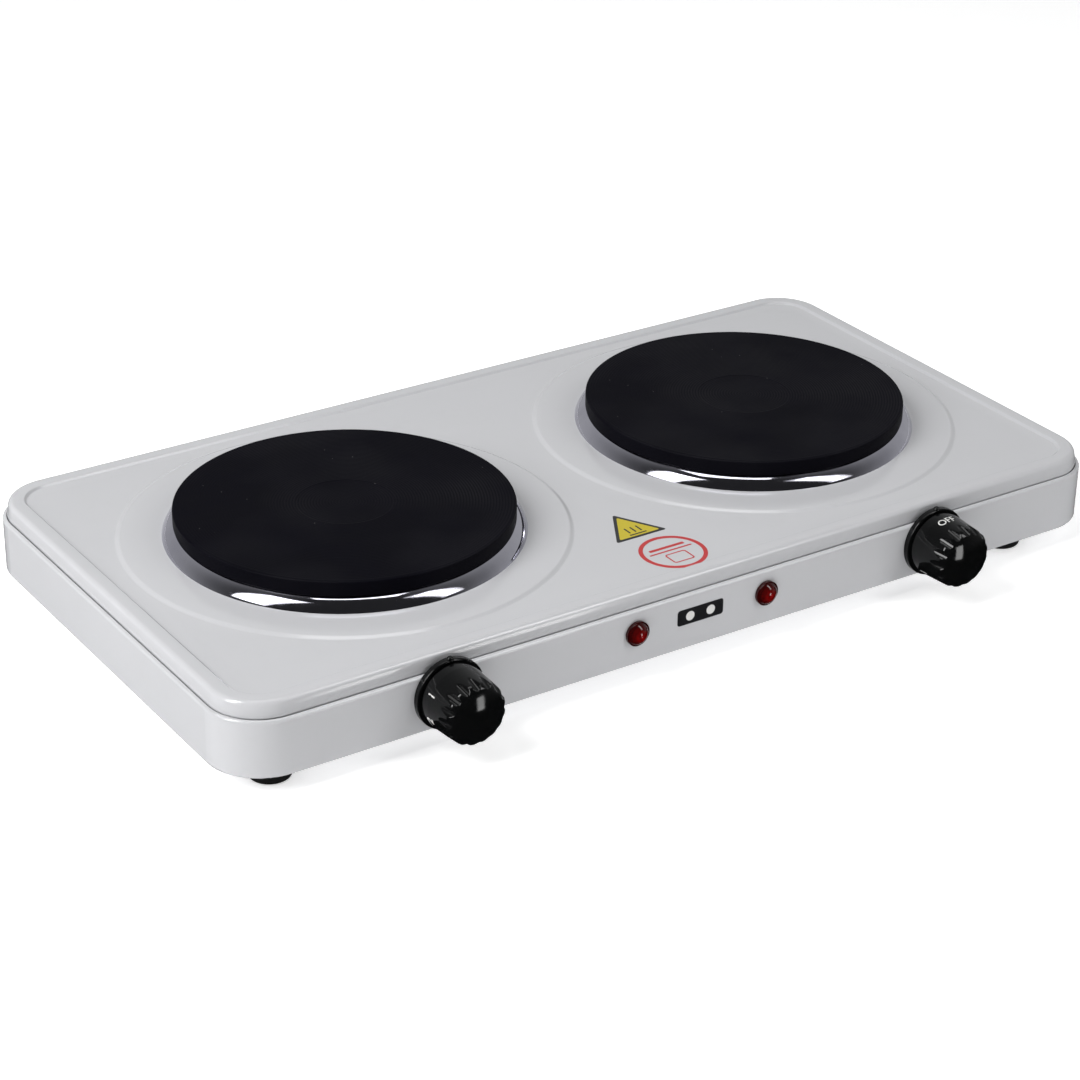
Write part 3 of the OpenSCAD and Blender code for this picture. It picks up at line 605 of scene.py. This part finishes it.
def panel_mesh(plate_centres):
    """The panel's outer surface, then given the sheet's thickness."""
    middle = (panel_low + panel_high) / 2
    half_w = (panel_high.x - panel_low.x) / 2
    half_d = (panel_high.y - panel_low.y) / 2
    section = [(-SEAM_JOGGLE, panel_low.z), (-SEAM_JOGGLE, SEAM_Z + JOGGLE_LOW)]
    section.append((0, SEAM_Z + JOGGLE_HIGH))
    bend = (-SKIRT_DRAFT - PANEL_BEND, RIM_Z - PANEL_BEND)
    section += arc(bend, PANEL_BEND, SKIRT_LEAN, 90, BEND_POINTS)
    section.append((-RIM_BAND, RIM_Z))
    section += s_curve((-RIM_BAND, RIM_Z), (-RIM_BAND - STEP_RUN, FIELD_Z), STEP_POINTS)
    vertices, faces = [], []
    loops = []
    for across, z in section:
        loop = rounded_loop(half_w + across, half_d + across, PANEL_CORNER + across)
        loops.append(range(len(vertices), len(vertices) + len(loop)))
        vertices += [(middle.x + x, middle.y + y, z) for x, y in loop]
    join_loops(faces, loops)
    inner = [vertices[i][:2] for i in loops[-1]]
    land_loops = []
    for centre in plate_centres:
        rings = [(LAND_R, FIELD_Z)]
        rings += s_curve((LAND_R, FIELD_Z), (LAND_R - LAND_RUN, LAND_Z), STEP_POINTS)
        rings += [(LAND_R - LAND_RUN - LAND_STRIP, LAND_Z), (HOLE_R + HOLE_STRIP, LAND_Z), (HOLE_R, LAND_Z)]
        made = []
        for radius, z in rings:
            made.append(range(len(vertices), len(vertices) + RING_SEGMENTS))
            for i in range(RING_SEGMENTS):
                a = 2 * math.pi * i / RING_SEGMENTS
                vertices.append((centre.x + radius * math.cos(a), centre.y + radius * math.sin(a), z))
        join_loops(faces, made)
        land_loops.append(made[0])
    fill_field(vertices, faces, loops[-1], inner, land_loops, plate_centres)
    mesh = bpy.data.meshes.new("top_panel_sheet")
    mesh.from_pydata(vertices, [], faces)
    face_up(mesh)
    maker = bpy.data.objects.new("top_panel_sheet", mesh)
    bpy.context.scene.collection.objects.link(maker)
    sheet = maker.modifiers.new("sheet", "SOLIDIFY")
    sheet.thickness = SHEET
    sheet.offset = -1
    sheet.use_even_offset = True
    made = baked(maker)
    made.polygons.foreach_set("use_smooth", [True] * len(made.polygons))
    crease(made, CREASE_ANGLE)
    return made


def join_loops(faces, loops):
    for a, b in zip(loops, loops[1:]):
        count = len(a)
        for i in range(count):
            k = (i + 1) % count
            faces.append((a[i], a[k], b[k], b[i]))


def fill_field(vertices, faces, outer, inner, land_loops, centres):
    """Triangles between the step's foot and the two lands, with an even grid inside."""
    used = list(outer) + [i for loop in land_loops for i in loop]
    flat = [Vector(vertices[i][:2]) for i in used]
    edges = ring_edges(0, len(outer))
    at = len(outer)
    for loop in land_loops:
        edges += ring_edges(at, len(loop))
        at += len(loop)
    xs = [p[0] for p in inner]
    ys = [p[1] for p in inner]
    margin = FIELD_GRID * GRID_MARGIN
    grid = []
    x = min(xs) + FIELD_GRID
    while x < max(xs):
        y = min(ys) + FIELD_GRID
        while y < max(ys):
            if inside(x, y, min(xs), max(xs), min(ys), max(ys), centres, margin):
                grid.append(Vector((x, y)))
            y += FIELD_GRID
        x += FIELD_GRID
    points, _, triangles, origin, _, _ = delaunay_2d_cdt(flat + grid, edges, [], 1, 1e-7)
    index = []
    for k, point in enumerate(points):
        first = origin[k][0] if origin[k] else None
        if first is not None and first < len(used):
            index.append(used[first])
        else:
            index.append(len(vertices))
            vertices.append((point.x, point.y, FIELD_Z))
    for face in triangles:
        if not any(all((points[i] - c.xy).length < LAND_R + LAND_MARGIN for i in face) for c in centres):
            faces.append(tuple(index[i] for i in face))


def ring_edges(start, count):
    return [(start + i, start + (i + 1) % count) for i in range(count)]


def inside(x, y, x0, x1, y0, y1, centres, margin):
    corner = PANEL_CORNER - RIM_BAND - STEP_RUN
    cx = min(max(x, x0 + corner), x1 - corner)
    cy = min(max(y, y0 + corner), y1 - corner)
    if not (x0 + margin < x < x1 - margin and y0 + margin < y < y1 - margin):
        return False
    if math.hypot(x - cx, y - cy) > corner - margin:
        return False
    return all(math.hypot(x - c.x, y - c.y) > LAND_R + margin for c in centres)


def face_up(mesh):
    """The open sheet's faces all look outward: up on the flats, away on the skirt."""
    work = bmesh.new()
    work.from_mesh(mesh)
    bmesh.ops.remove_doubles(work, verts=work.verts, dist=1e-7)
    bmesh.ops.recalc_face_normals(work, faces=work.faces)
    work.faces.ensure_lookup_table()
    flat = max(work.faces, key=lambda f: abs(f.normal.z) * f.calc_area())
    if flat.normal.z < 0:
        bmesh.ops.reverse_faces(work, faces=work.faces)
    work.to_mesh(mesh)
    work.free()


# ---- plates and trim rings ----


def plate_section(low_z, high_z, outer_r):
    """Half section of a plate: sunken middle, turned grooves, rounded corners, casting below."""
    floor = high_z - DIMPLE_DEPTH
    points = [(0, floor), (DIMPLE_R * 0.5, floor), (DIMPLE_R - DIMPLE_RUN, floor)]
    points += s_curve((DIMPLE_R - DIMPLE_RUN, floor), (DIMPLE_R, high_z), DIMPLE_POINTS)
    groove_end = outer_r - PLATE_EDGE - GROOVE_MARGIN
    count = round((groove_end - DIMPLE_R) / GROOVE_PITCH)
    pitch = (groove_end - DIMPLE_R) / count
    for i in range(1, count * GROOVE_POINTS + 1):
        dip = GROOVE_DEPTH * (1 - math.cos(2 * math.pi * i / GROOVE_POINTS)) / 2
        points.append((DIMPLE_R + pitch * i / GROOVE_POINTS, high_z - dip))
    points += arc((outer_r - PLATE_EDGE, high_z - PLATE_EDGE), PLATE_EDGE, 90, 0, PLATE_EDGE_POINTS)
    points += arc((outer_r - PLATE_EDGE, low_z + PLATE_EDGE), PLATE_EDGE, 0, -90, PLATE_EDGE_POINTS)
    points += [(CASTING_R, low_z), (CASTING_R, low_z - CASTING_DEPTH), (0, low_z - CASTING_DEPTH)]
    return points


def build_plates():
    centres = []
    for side in SIDES:
        low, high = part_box(side + "_hotplate")
        centre = Vector(((low.x + high.x) / 2, (low.y + high.y) / 2, 0))
        centres.append(centre)
        outer_r = (high.x - low.x) / 2
        under = low.z + CASTING_DEPTH
        section = plate_section(under, high.z, outer_r)
        iron = cast_iron(side + "_plate_iron", centre, 0.0 if side == "left" else RIGHT_PLATE_TONE)
        mesh = turned(side + "_plate", section, outer_r / 2, centre, iron, closed=False)
        crease(mesh, PLATE_CREASE)
        make_piece(side + "_plate", mesh, None, "casing", [side + "_hotplate"])
        low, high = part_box(side + "_trim_ring")
        outer_r = (high.x - low.x) / 2
        first, last = (math.radians(a) for a in RING_SWEEP)
        bow = (high.z - low.z) / (math.sin(last) - math.sin(first))
        bend = (outer_r - bow * math.cos(first), low.z - bow * math.sin(first))
        section = arc(bend, bow, *RING_SWEEP, RING_OUTSIDE_POINTS)
        top_r = section[-1][0]
        section += [(top_r - RING_TOP_RUN, high.z), (RING_INNER_R, high.z)]
        section += [(RING_INNER_R, high.z - RING_T), (top_r - RING_TOP_RUN, high.z - RING_T)]
        section += arc(bend, bow - RING_T, *reversed(RING_SWEEP), RING_INSIDE_POINTS)
        mesh = turned(side + "_ring", section, outer_r * RING_PATH, centre, CHROME)
        crease(mesh, PLATE_CREASE)
        make_piece(side + "_ring", mesh, None, "casing", [side + "_trim_ring"])
    return centres


# ---- knobs ----


def knob_profile():
    """Outer half section from the rear edge to the middle of the front, as (radius, height)."""
    touch = math.degrees(math.atan2(KNOB_SHOULDER - KNOB_DOME_MID, KNOB_EDGE_MID))
    points = [(KNOB_R - KNOB_CHAMFER, KNOB_BACK), (KNOB_R, KNOB_BACK + KNOB_CHAMFER)]
    points += fine_line(points[-1], (KNOB_R, KNOB_BACK + KNOB_STRAIGHT), STRAIGHT_STEP)
    points += fine_line(points[-1], (KNOB_FRONT_R, KNOB_SHOULDER), TAPER_STEP)
    points += arc((KNOB_EDGE_MID, KNOB_SHOULDER), KNOB_EDGE, 0, touch, EDGE_POINTS)[1:]
    start = math.degrees(math.atan2(points[-1][1] - KNOB_DOME_MID, points[-1][0]))
    points += arc((0, KNOB_DOME_MID), KNOB_DOME, start, 90, DOME_POINTS)[1:-1]
    return points


def skirt_radius(height):
    start = KNOB_BACK + KNOB_STRAIGHT
    t = min(max((height - start) / (KNOB_SHOULDER - start), 0), 1)
    return KNOB_R + (KNOB_FRONT_R - KNOB_R) * t


def soft_min(a, b, soft):
    """The smaller of two, blended where they are within the soft distance."""
    h = max(soft - abs(a - b), 0) / soft
    return min(a, b) - h * h * soft / 4


def fluted(radius, height, angle):
    """The radius left when the nearest groove has been cut."""
    pitch = 2 * math.pi / FLUTES
    off = (angle + pitch / 2) % pitch - pitch / 2
    middle = skirt_radius(FLUTE_START) + FLUTE_R - FLUTE_SLOPE * (height - FLUTE_START)
    inside_root = FLUTE_R ** 2 - (middle * math.sin(off)) ** 2
    if inside_root <= 0:
        return radius
    near = middle * math.cos(off) - math.sqrt(inside_root)
    return soft_min(radius, near, FLUTE_SOFT)


def knob_mesh(name, joint, turn):
    """Local heights run out of the wall; the angle runs clockwise from the top."""
    segments = FLUTES * FLUTE_POINTS
    outline = knob_profile()
    inner = [(SHAFT_BORE_R, BORE_END), (SHAFT_BORE_R, HUB_BACK), (HUB_R, HUB_BACK),
        (HUB_R, KNOB_BACK + KNOB_HOLLOW), (KNOB_R - KNOB_WALL, KNOB_BACK + KNOB_HOLLOW),
        (KNOB_R - KNOB_WALL, KNOB_BACK), (KNOB_R - KNOB_CHAMFER, KNOB_BACK)]
    vertices, faces, loops = [], [], []
    for k, (radius, height) in enumerate(inner[:-1] + outline):
        cut = k >= len(inner) - 1
        loops.append(range(len(vertices), len(vertices) + segments))
        for i in range(segments):
            a = 2 * math.pi * i / segments
            r = fluted(radius, height, a) if cut else radius
            vertices.append(out_of_wall(joint, a + turn, r, height))
    join_loops(faces, loops)
    for loop, height in ((loops[0], BORE_END), (loops[-1], KNOB_REACH)):
        tip = len(vertices)
        vertices.append(out_of_wall(joint, 0, 0, height))
        for i in range(segments):
            faces.append((loop[i], loop[(i + 1) % segments], tip))
    mesh = mesh_of(name, vertices, faces)
    crease(mesh, CREASE_ANGLE)
    return mesh


def out_of_wall(joint, angle, radius, height):
    """A point about a control's axis, in the frame."""
    x, y, z = joint["pos_m"]
    return (x + radius * math.sin(angle), y - height, z + radius * math.cos(angle))


def text_mesh(body, size):
    """The outline of a word as a flat mesh, centred on the origin."""
    curve = bpy.data.curves.new("mark", "FONT")
    curve.body = body
    curve.size = size / MM
    curve.align_x = "CENTER"
    curve.align_y = "CENTER"
    curve.offset = MARK_WEIGHT
    maker = bpy.data.objects.new("mark", curve)
    bpy.context.scene.collection.objects.link(maker)
    mesh = baked(maker)
    mesh.transform(Matrix.Scale(MM, 4))
    return mesh


def mark_mesh(name, joint, body, angle, middle, size):
    """A printed mark wrapped on the knob's skirt, tops towards the wall."""
    flat = text_mesh(body, size)
    work = bmesh.new()
    work.from_mesh(flat)
    across = [v.co.x for v in work.verts]
    x = min(across) + MARK_SLICE
    while x < max(across):
        parts = work.verts[:] + work.edges[:] + work.faces[:]
        bmesh.ops.bisect_plane(work, geom=parts, plane_co=(x, 0, 0), plane_no=(1, 0, 0))
        x += MARK_SLICE
    made = bmesh.ops.extrude_face_region(work, geom=work.faces[:])
    for v in made["geom"]:
        if isinstance(v, bmesh.types.BMVert):
            v.co.z = -MARK_LIFT * 2
    for v in work.verts:
        height = middle - v.co.y
        radius = skirt_radius(height) + MARK_LIFT + v.co.z
        v.co = out_of_wall(joint, angle + v.co.x / KNOB_R, radius, height)
    bmesh.ops.recalc_face_normals(work, faces=work.faces)
    mesh = bpy.data.meshes.new(name)
    work.to_mesh(mesh)
    work.free()
    return mesh


def build_knobs():
    for side in SIDES:
        joint = JOINTS[side + "_knob_turn"]
        turn = math.radians(-joint["range_deg"][0])
        body = side + "_knob"
        mesh = knob_mesh(side + "_grip", joint, turn)
        make_piece(side + "_grip", mesh, PLASTIC, body, [side + "_knob"])
        for word, degrees, forward in MARKS:
            name = side + "_mark_" + word.lower()
            size = MARK_SIZE * (WORD_SCALE if len(word) > 1 else 1)
            middle = MARK_MIDDLE + forward * MM
            mesh = mark_mesh(name, joint, word, turn + math.radians(degrees), middle, size)
            make_piece(name, mesh, PRINT_WHITE, body)


# ---- printed labels ----


def slab(name, outlines, low, high, lay):
    """A thin closed slab from one or two outlines of the same count; the second is its hole."""
    count = len(outlines[0])
    vertices, faces = [], []
    for z in (low, high):
        for outline in outlines:
            vertices += [lay(x, y, z) for x, y in outline]
    if len(outlines) == 1:
        faces.append(tuple(range(count)))
        faces.append(tuple(range(count, 2 * count)))
        join_loops(faces, [range(count), range(count, 2 * count)])
    else:
        rings = [range(k * count, (k + 1) * count) for k in range(4)]
        join_loops(faces, [rings[0], rings[2], rings[3], rings[1], rings[0]])
    return mesh_of(name, vertices, faces, smooth=False)


def ring_outline(cx, cy, radius, count=96):
    return [(cx + radius * math.cos(2 * math.pi * i / count), cy + radius * math.sin(2 * math.pi * i / count))
        for i in range(count)]


def soft_polygon(corners, radius):
    """A polygon with rounded corners."""
    points = []
    count = len(corners)
    for i in range(count):
        here = Vector(corners[i])
        to_last = (Vector(corners[i - 1]) - here).normalized()
        to_next = (Vector(corners[(i + 1) % count]) - here).normalized()
        half = to_last.angle(to_next) / 2
        start = here + to_last * (radius / math.tan(half))
        end = here + to_next * (radius / math.tan(half))
        middle = here + (to_last + to_next).normalized() * (radius / math.sin(half))
        a = start - middle
        b = end - middle
        for k in range(SOFT_CORNER_POINTS + 1):
            t = k / SOFT_CORNER_POINTS
            points.append(tuple(middle + (a * (1 - t) + b * t).normalized() * radius))
    return points


def rounded_box(cx, cy, half_w, half_h, radius):
    corners = [(cx + half_w, cy + half_h), (cx - half_w, cy + half_h),
        (cx - half_w, cy - half_h), (cx + half_w, cy - half_h)]
    return soft_polygon(corners, radius)


def scaled(outline, factor):
    cx = sum(x for x, _ in outline) / len(outline)
    cy = sum(y for _, y in outline) / len(outline)
    return [(cx + (x - cx) * factor, cy + (y - cy) * factor) for x, y in outline]


PAN_MIDDLE = (pan_low + pan_high) / 2
FILM = 0.06 * MM
FILM_HIGH = FILM * 1.6
FILM_TOP = FILM * 2.2
SOFT_CORNER_POINTS = 6
DISC_POINTS = 48

# Labels in millimetres from the pan's middle. A box is half width, half height and corner.
TRIANGLE = ((-16.3, -75.8), (11.3, -75.8), (-2.1, -51.6))
TRIANGLE_CORNER = 0.8
TRIANGLE_FILL = 0.80
SIGN_BARS = (-3.1, 0.0, 3.1)
SIGN_BAR_DROP = 0.6
SIGN_BAR_BOX = (0.42, 2.6, 0.4)
SIGN_BASE_DROP = 4.9
SIGN_BASE_BOX = (4.6, 0.45, 0.42)
CAUTION_RING = (0.4, -95.8, 15.6, 2.0)
CAUTION_FRAME_DROP = 5.2
CAUTION_FRAME_OUTER = (5.6, 4.4, 1.4)
CAUTION_FRAME_INNER = (4.9, 3.7, 0.9)
CAUTION_BARS = ((5.2, (9.4, 0.9, 0.45)), (1.9, (11.4, 0.5, 0.45)))
EMBLEM_X = -3.4
EMBLEM_DROP = 11.0
EMBLEM_BOX = (12.5, 3.9, 1.4)
EMBLEM_DISC_R = 2.3
EMBLEM_DISC_SHIFT = 5.6


def on_field(x, y, z):
    """Millimetres from the pan's middle, on the sunken field or the foot of its front step."""
    half_d = (panel_high.y - panel_low.y) / 2
    up_step = (RIM_BAND + STEP_RUN - (half_d - abs(y) * MM)) / STEP_RUN
    climb = (1 - math.cos(math.pi * min(max(up_step, 0), 1))) / 2
    return (PAN_MIDDLE.x + x * MM, PAN_MIDDLE.y + y * MM, FIELD_Z + FIELD_DROP * climb + z)


def on_wall(x, y, z):
    """Millimetres from the pan's middle and up from the seam, on the front wall."""
    return (PAN_MIDDLE.x + x * MM, WALL_Y - z, SEAM_Z + y * MM)


def label(name, outlines, low, high, lay, material):
    make_piece(name, slab(name, outlines, low, high, lay), material, "casing")


def build_triangle():
    outer = soft_polygon(TRIANGLE, TRIANGLE_CORNER)
    label("triangle_border", [outer], -FILM, FILM, on_field, PRINT_BLACK)
    label("triangle_fill", [scaled(outer, TRIANGLE_FILL)], 0, FILM_HIGH, on_field, PRINT_YELLOW)
    x, y = (sum(corner[axis] for corner in TRIANGLE) / 3 for axis in (0, 1))
    for i, shift in enumerate(SIGN_BARS):
        bar = rounded_box(x + shift, y - SIGN_BAR_DROP, *SIGN_BAR_BOX)
        label(f"triangle_bar_{i + 1}", [bar], 0, FILM_TOP, on_field, PRINT_BLACK)
    base = rounded_box(x, y - SIGN_BASE_DROP, *SIGN_BASE_BOX)
    label("triangle_base_bar", [base], 0, FILM_TOP, on_field, PRINT_BLACK)


def build_caution():
    x, y, radius, line = CAUTION_RING
    ring = [ring_outline(x, y, radius), ring_outline(x, y, radius - line)]
    label("caution_ring", ring, -FILM, FILM_HIGH, on_field, PRINT_RED)
    boxes = (CAUTION_FRAME_OUTER, CAUTION_FRAME_INNER)
    frame_lines = [rounded_box(x, y - CAUTION_FRAME_DROP, *box) for box in boxes]
    label("caution_frame", frame_lines, -FILM, FILM, on_field, PRINT_RED)
    for i, (rise, box) in enumerate(CAUTION_BARS):
        bar = rounded_box(x, y + rise, *box)
        label(f"caution_bar_{i + 1}", [bar], -FILM, FILM, on_field, PRINT_RED)


def build_emblem():
    """A plain badge with a disc for each plate."""
    plan = rounded_box(EMBLEM_X, -EMBLEM_DROP, *EMBLEM_BOX)
    label("emblem_plan", [plan], -FILM, FILM, on_wall, PRINT_BLACK)
    for side, way in zip(SIDES, (-1, 1)):
        disc = ring_outline(EMBLEM_X + way * EMBLEM_DISC_SHIFT, -EMBLEM_DROP, EMBLEM_DISC_R, DISC_POINTS)
        label("emblem_disc_" + side, [disc], 0, FILM_HIGH, on_wall, PRINT_WHITE)


PRINT_WHITE = ink("print_white", (0.78, 0.78, 0.76, 1), 0.45)
PRINT_BLACK = ink("print_black", (0.012, 0.012, 0.014, 1), 0.3)
PRINT_YELLOW = ink("print_yellow", (0.60, 0.485, 0.019, 1), 0.3)
PRINT_RED = ink("print_red", (0.55, 0.030, 0.032, 1), 0.3)


# ---- carried CAD nodes ----


def paint_nodes():
    """Gives each carried node the material of its slot, with one lens material for each lamp."""
    lenses = {}
    for side in SIDES:
        low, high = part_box(side + "_lamp_lens")
        lenses[side + "_lamp_lens"] = red_lens(side + "_lens_red", (low + high) / 2)
    for name, node in frame["nodes"].items():
        for place in node.material_slots:
            slot = place.material.name.split(".")[0] if place.material else ""
            place.material = lenses.get(name) or SLOT_MATERIALS.get(slot, ENAMEL)


# ---- stage, light and camera ----


VIEW_AZIMUTH = -33.7625
VIEW_ELEVATION = 27.1414
VIEW_ROLL = 0.8369
VIEW_DISTANCE = 1313.83 * MM
VIEW_LENS = 96.327
VIEW_SENSOR = 36.0
AIM_OFFSET = Vector((-36.94, -44.44, 0)) * MM


def direction(azimuth, elevation):
    """Unit vector from the object towards a place round it."""
    a, e = math.radians(azimuth), math.radians(elevation)
    return Vector((math.sin(a) * math.cos(e), -math.cos(a) * math.cos(e), math.sin(e)))


def build_camera():
    aim = Vector((PAN_MIDDLE.x, PAN_MIDDLE.y, SEAM_Z)) + AIM_OFFSET
    back = direction(VIEW_AZIMUTH, VIEW_ELEVATION)
    right = (-back).cross(Vector((0, 0, 1))).normalized()
    up = right.cross(-back)
    c, s = math.cos(math.radians(VIEW_ROLL)), math.sin(math.radians(VIEW_ROLL))
    rolled_right = right * c + up * s
    rolled_up = up * c - right * s
    data = bpy.data.cameras.new("camera")
    data.lens, data.sensor_width = VIEW_LENS, VIEW_SENSOR
    data.clip_start, data.clip_end = 0.05, 50
    camera = bpy.data.objects.new("camera", data)
    bpy.context.scene.collection.objects.link(camera)
    turn = Matrix((rolled_right, rolled_up, back)).transposed()
    camera.matrix_world = Matrix.Translation(aim + back * VIEW_DISTANCE) @ turn.to_4x4()
    bpy.context.scene.camera = camera


# Softboxes: name, azimuth, elevation, distance, width, height (m) and power (W)
SOFTBOXES = (
    ("left_softbox", -90, 40, 1.9, 0.46, 1.4, 22.5),
    ("left_halo", -90, 40, 1.95, 0.78, 1.7, 9),
    ("right_softbox", 35, 42, 1.9, 0.34, 1.3, 7),
    ("right_halo", 35, 42, 1.95, 0.56, 1.6, 3),
    ("top_softbox", 150, 84, 1.7, 0.8, 0.6, 4.8),
    ("window_softbox", 22, -9, 1.9, 0.34, 0.56, 5.0),
)
BEHIND_LEVEL = 0.43
BEHIND_CAMERA_LEVEL = 0.025
SKY_LEAN = -0.55
SKY_SPREAD = 0.75
SKY_COLOUR = (0.98, 0.99, 1.0, 1)
GROUND_FADE = (-0.25, 0.02)
FLOOR_HALF = 6.0


def build_world():
    """A studio that is dark behind the camera and below, and bright beyond the object."""
    s = Shader("studio", "worlds")
    at = s.node("ShaderNodeTexCoord").outputs["Generated"]
    beyond = -direction(VIEW_AZIMUTH, 0) + Vector((0, 0, SKY_LEAN))
    facing = s.node("ShaderNodeVectorMath", {"operation": "DOT_PRODUCT"}, {0: at, 1: beyond})
    level = s.node("ShaderNodeMapRange", {"interpolation_type": "SMOOTHSTEP"}, {
        "Value": facing.outputs["Value"], "From Min": -SKY_SPREAD, "From Max": SKY_SPREAD,
        "To Min": BEHIND_CAMERA_LEVEL, "To Max": BEHIND_LEVEL})
    height = s.node("ShaderNodeSeparateXYZ", None, {0: at}).outputs["Z"]
    strength = Term(s, level.outputs["Result"]) * s.scale_to(height, *GROUND_FADE)
    background = s.node("ShaderNodeBackground", None, {"Color": SKY_COLOUR, "Strength": strength})
    s.node("ShaderNodeOutputWorld", None, {"Surface": background.outputs[0]})
    bpy.context.scene.world = s.owner


def build_softboxes():
    aim = Vector((PAN_MIDDLE.x, PAN_MIDDLE.y, SEAM_Z))
    for name, azimuth, elevation, distance, width, height, power in SOFTBOXES:
        data = bpy.data.lights.new(name, "AREA")
        data.shape = "RECTANGLE"
        data.size, data.size_y = width, height
        data.energy = power
        lamp = bpy.data.objects.new(name, data)
        bpy.context.scene.collection.objects.link(lamp)
        away = direction(azimuth, elevation)
        turn = away.to_track_quat("Z", "Y").to_matrix().to_4x4()
        lamp.matrix_world = Matrix.Translation(aim + away * distance) @ turn


def build_floor():
    half, drop = FLOOR_HALF, cad_low.z
    vertices = [(-half, -half, drop), (half, -half, drop), (half, half, drop), (-half, half, drop)]
    mesh = bpy.data.meshes.new("floor")
    mesh.from_pydata(vertices, [], [(0, 1, 2, 3)])
    mesh.materials.append(floor_paint())
    floor = bpy.data.objects.new("floor", mesh)
    bpy.context.scene.collection.objects.link(floor)
    floor.visible_glossy = False


paint_nodes()
plate_centres = build_plates()
make_piece("panel", panel_mesh(plate_centres), ENAMEL, "casing", ["top_panel"])
build_knobs()
build_triangle()
build_caution()
build_emblem()
build_floor()
build_world()
build_softboxes()
build_camera()
bpy.context.scene.view_settings.view_transform = "Standard"
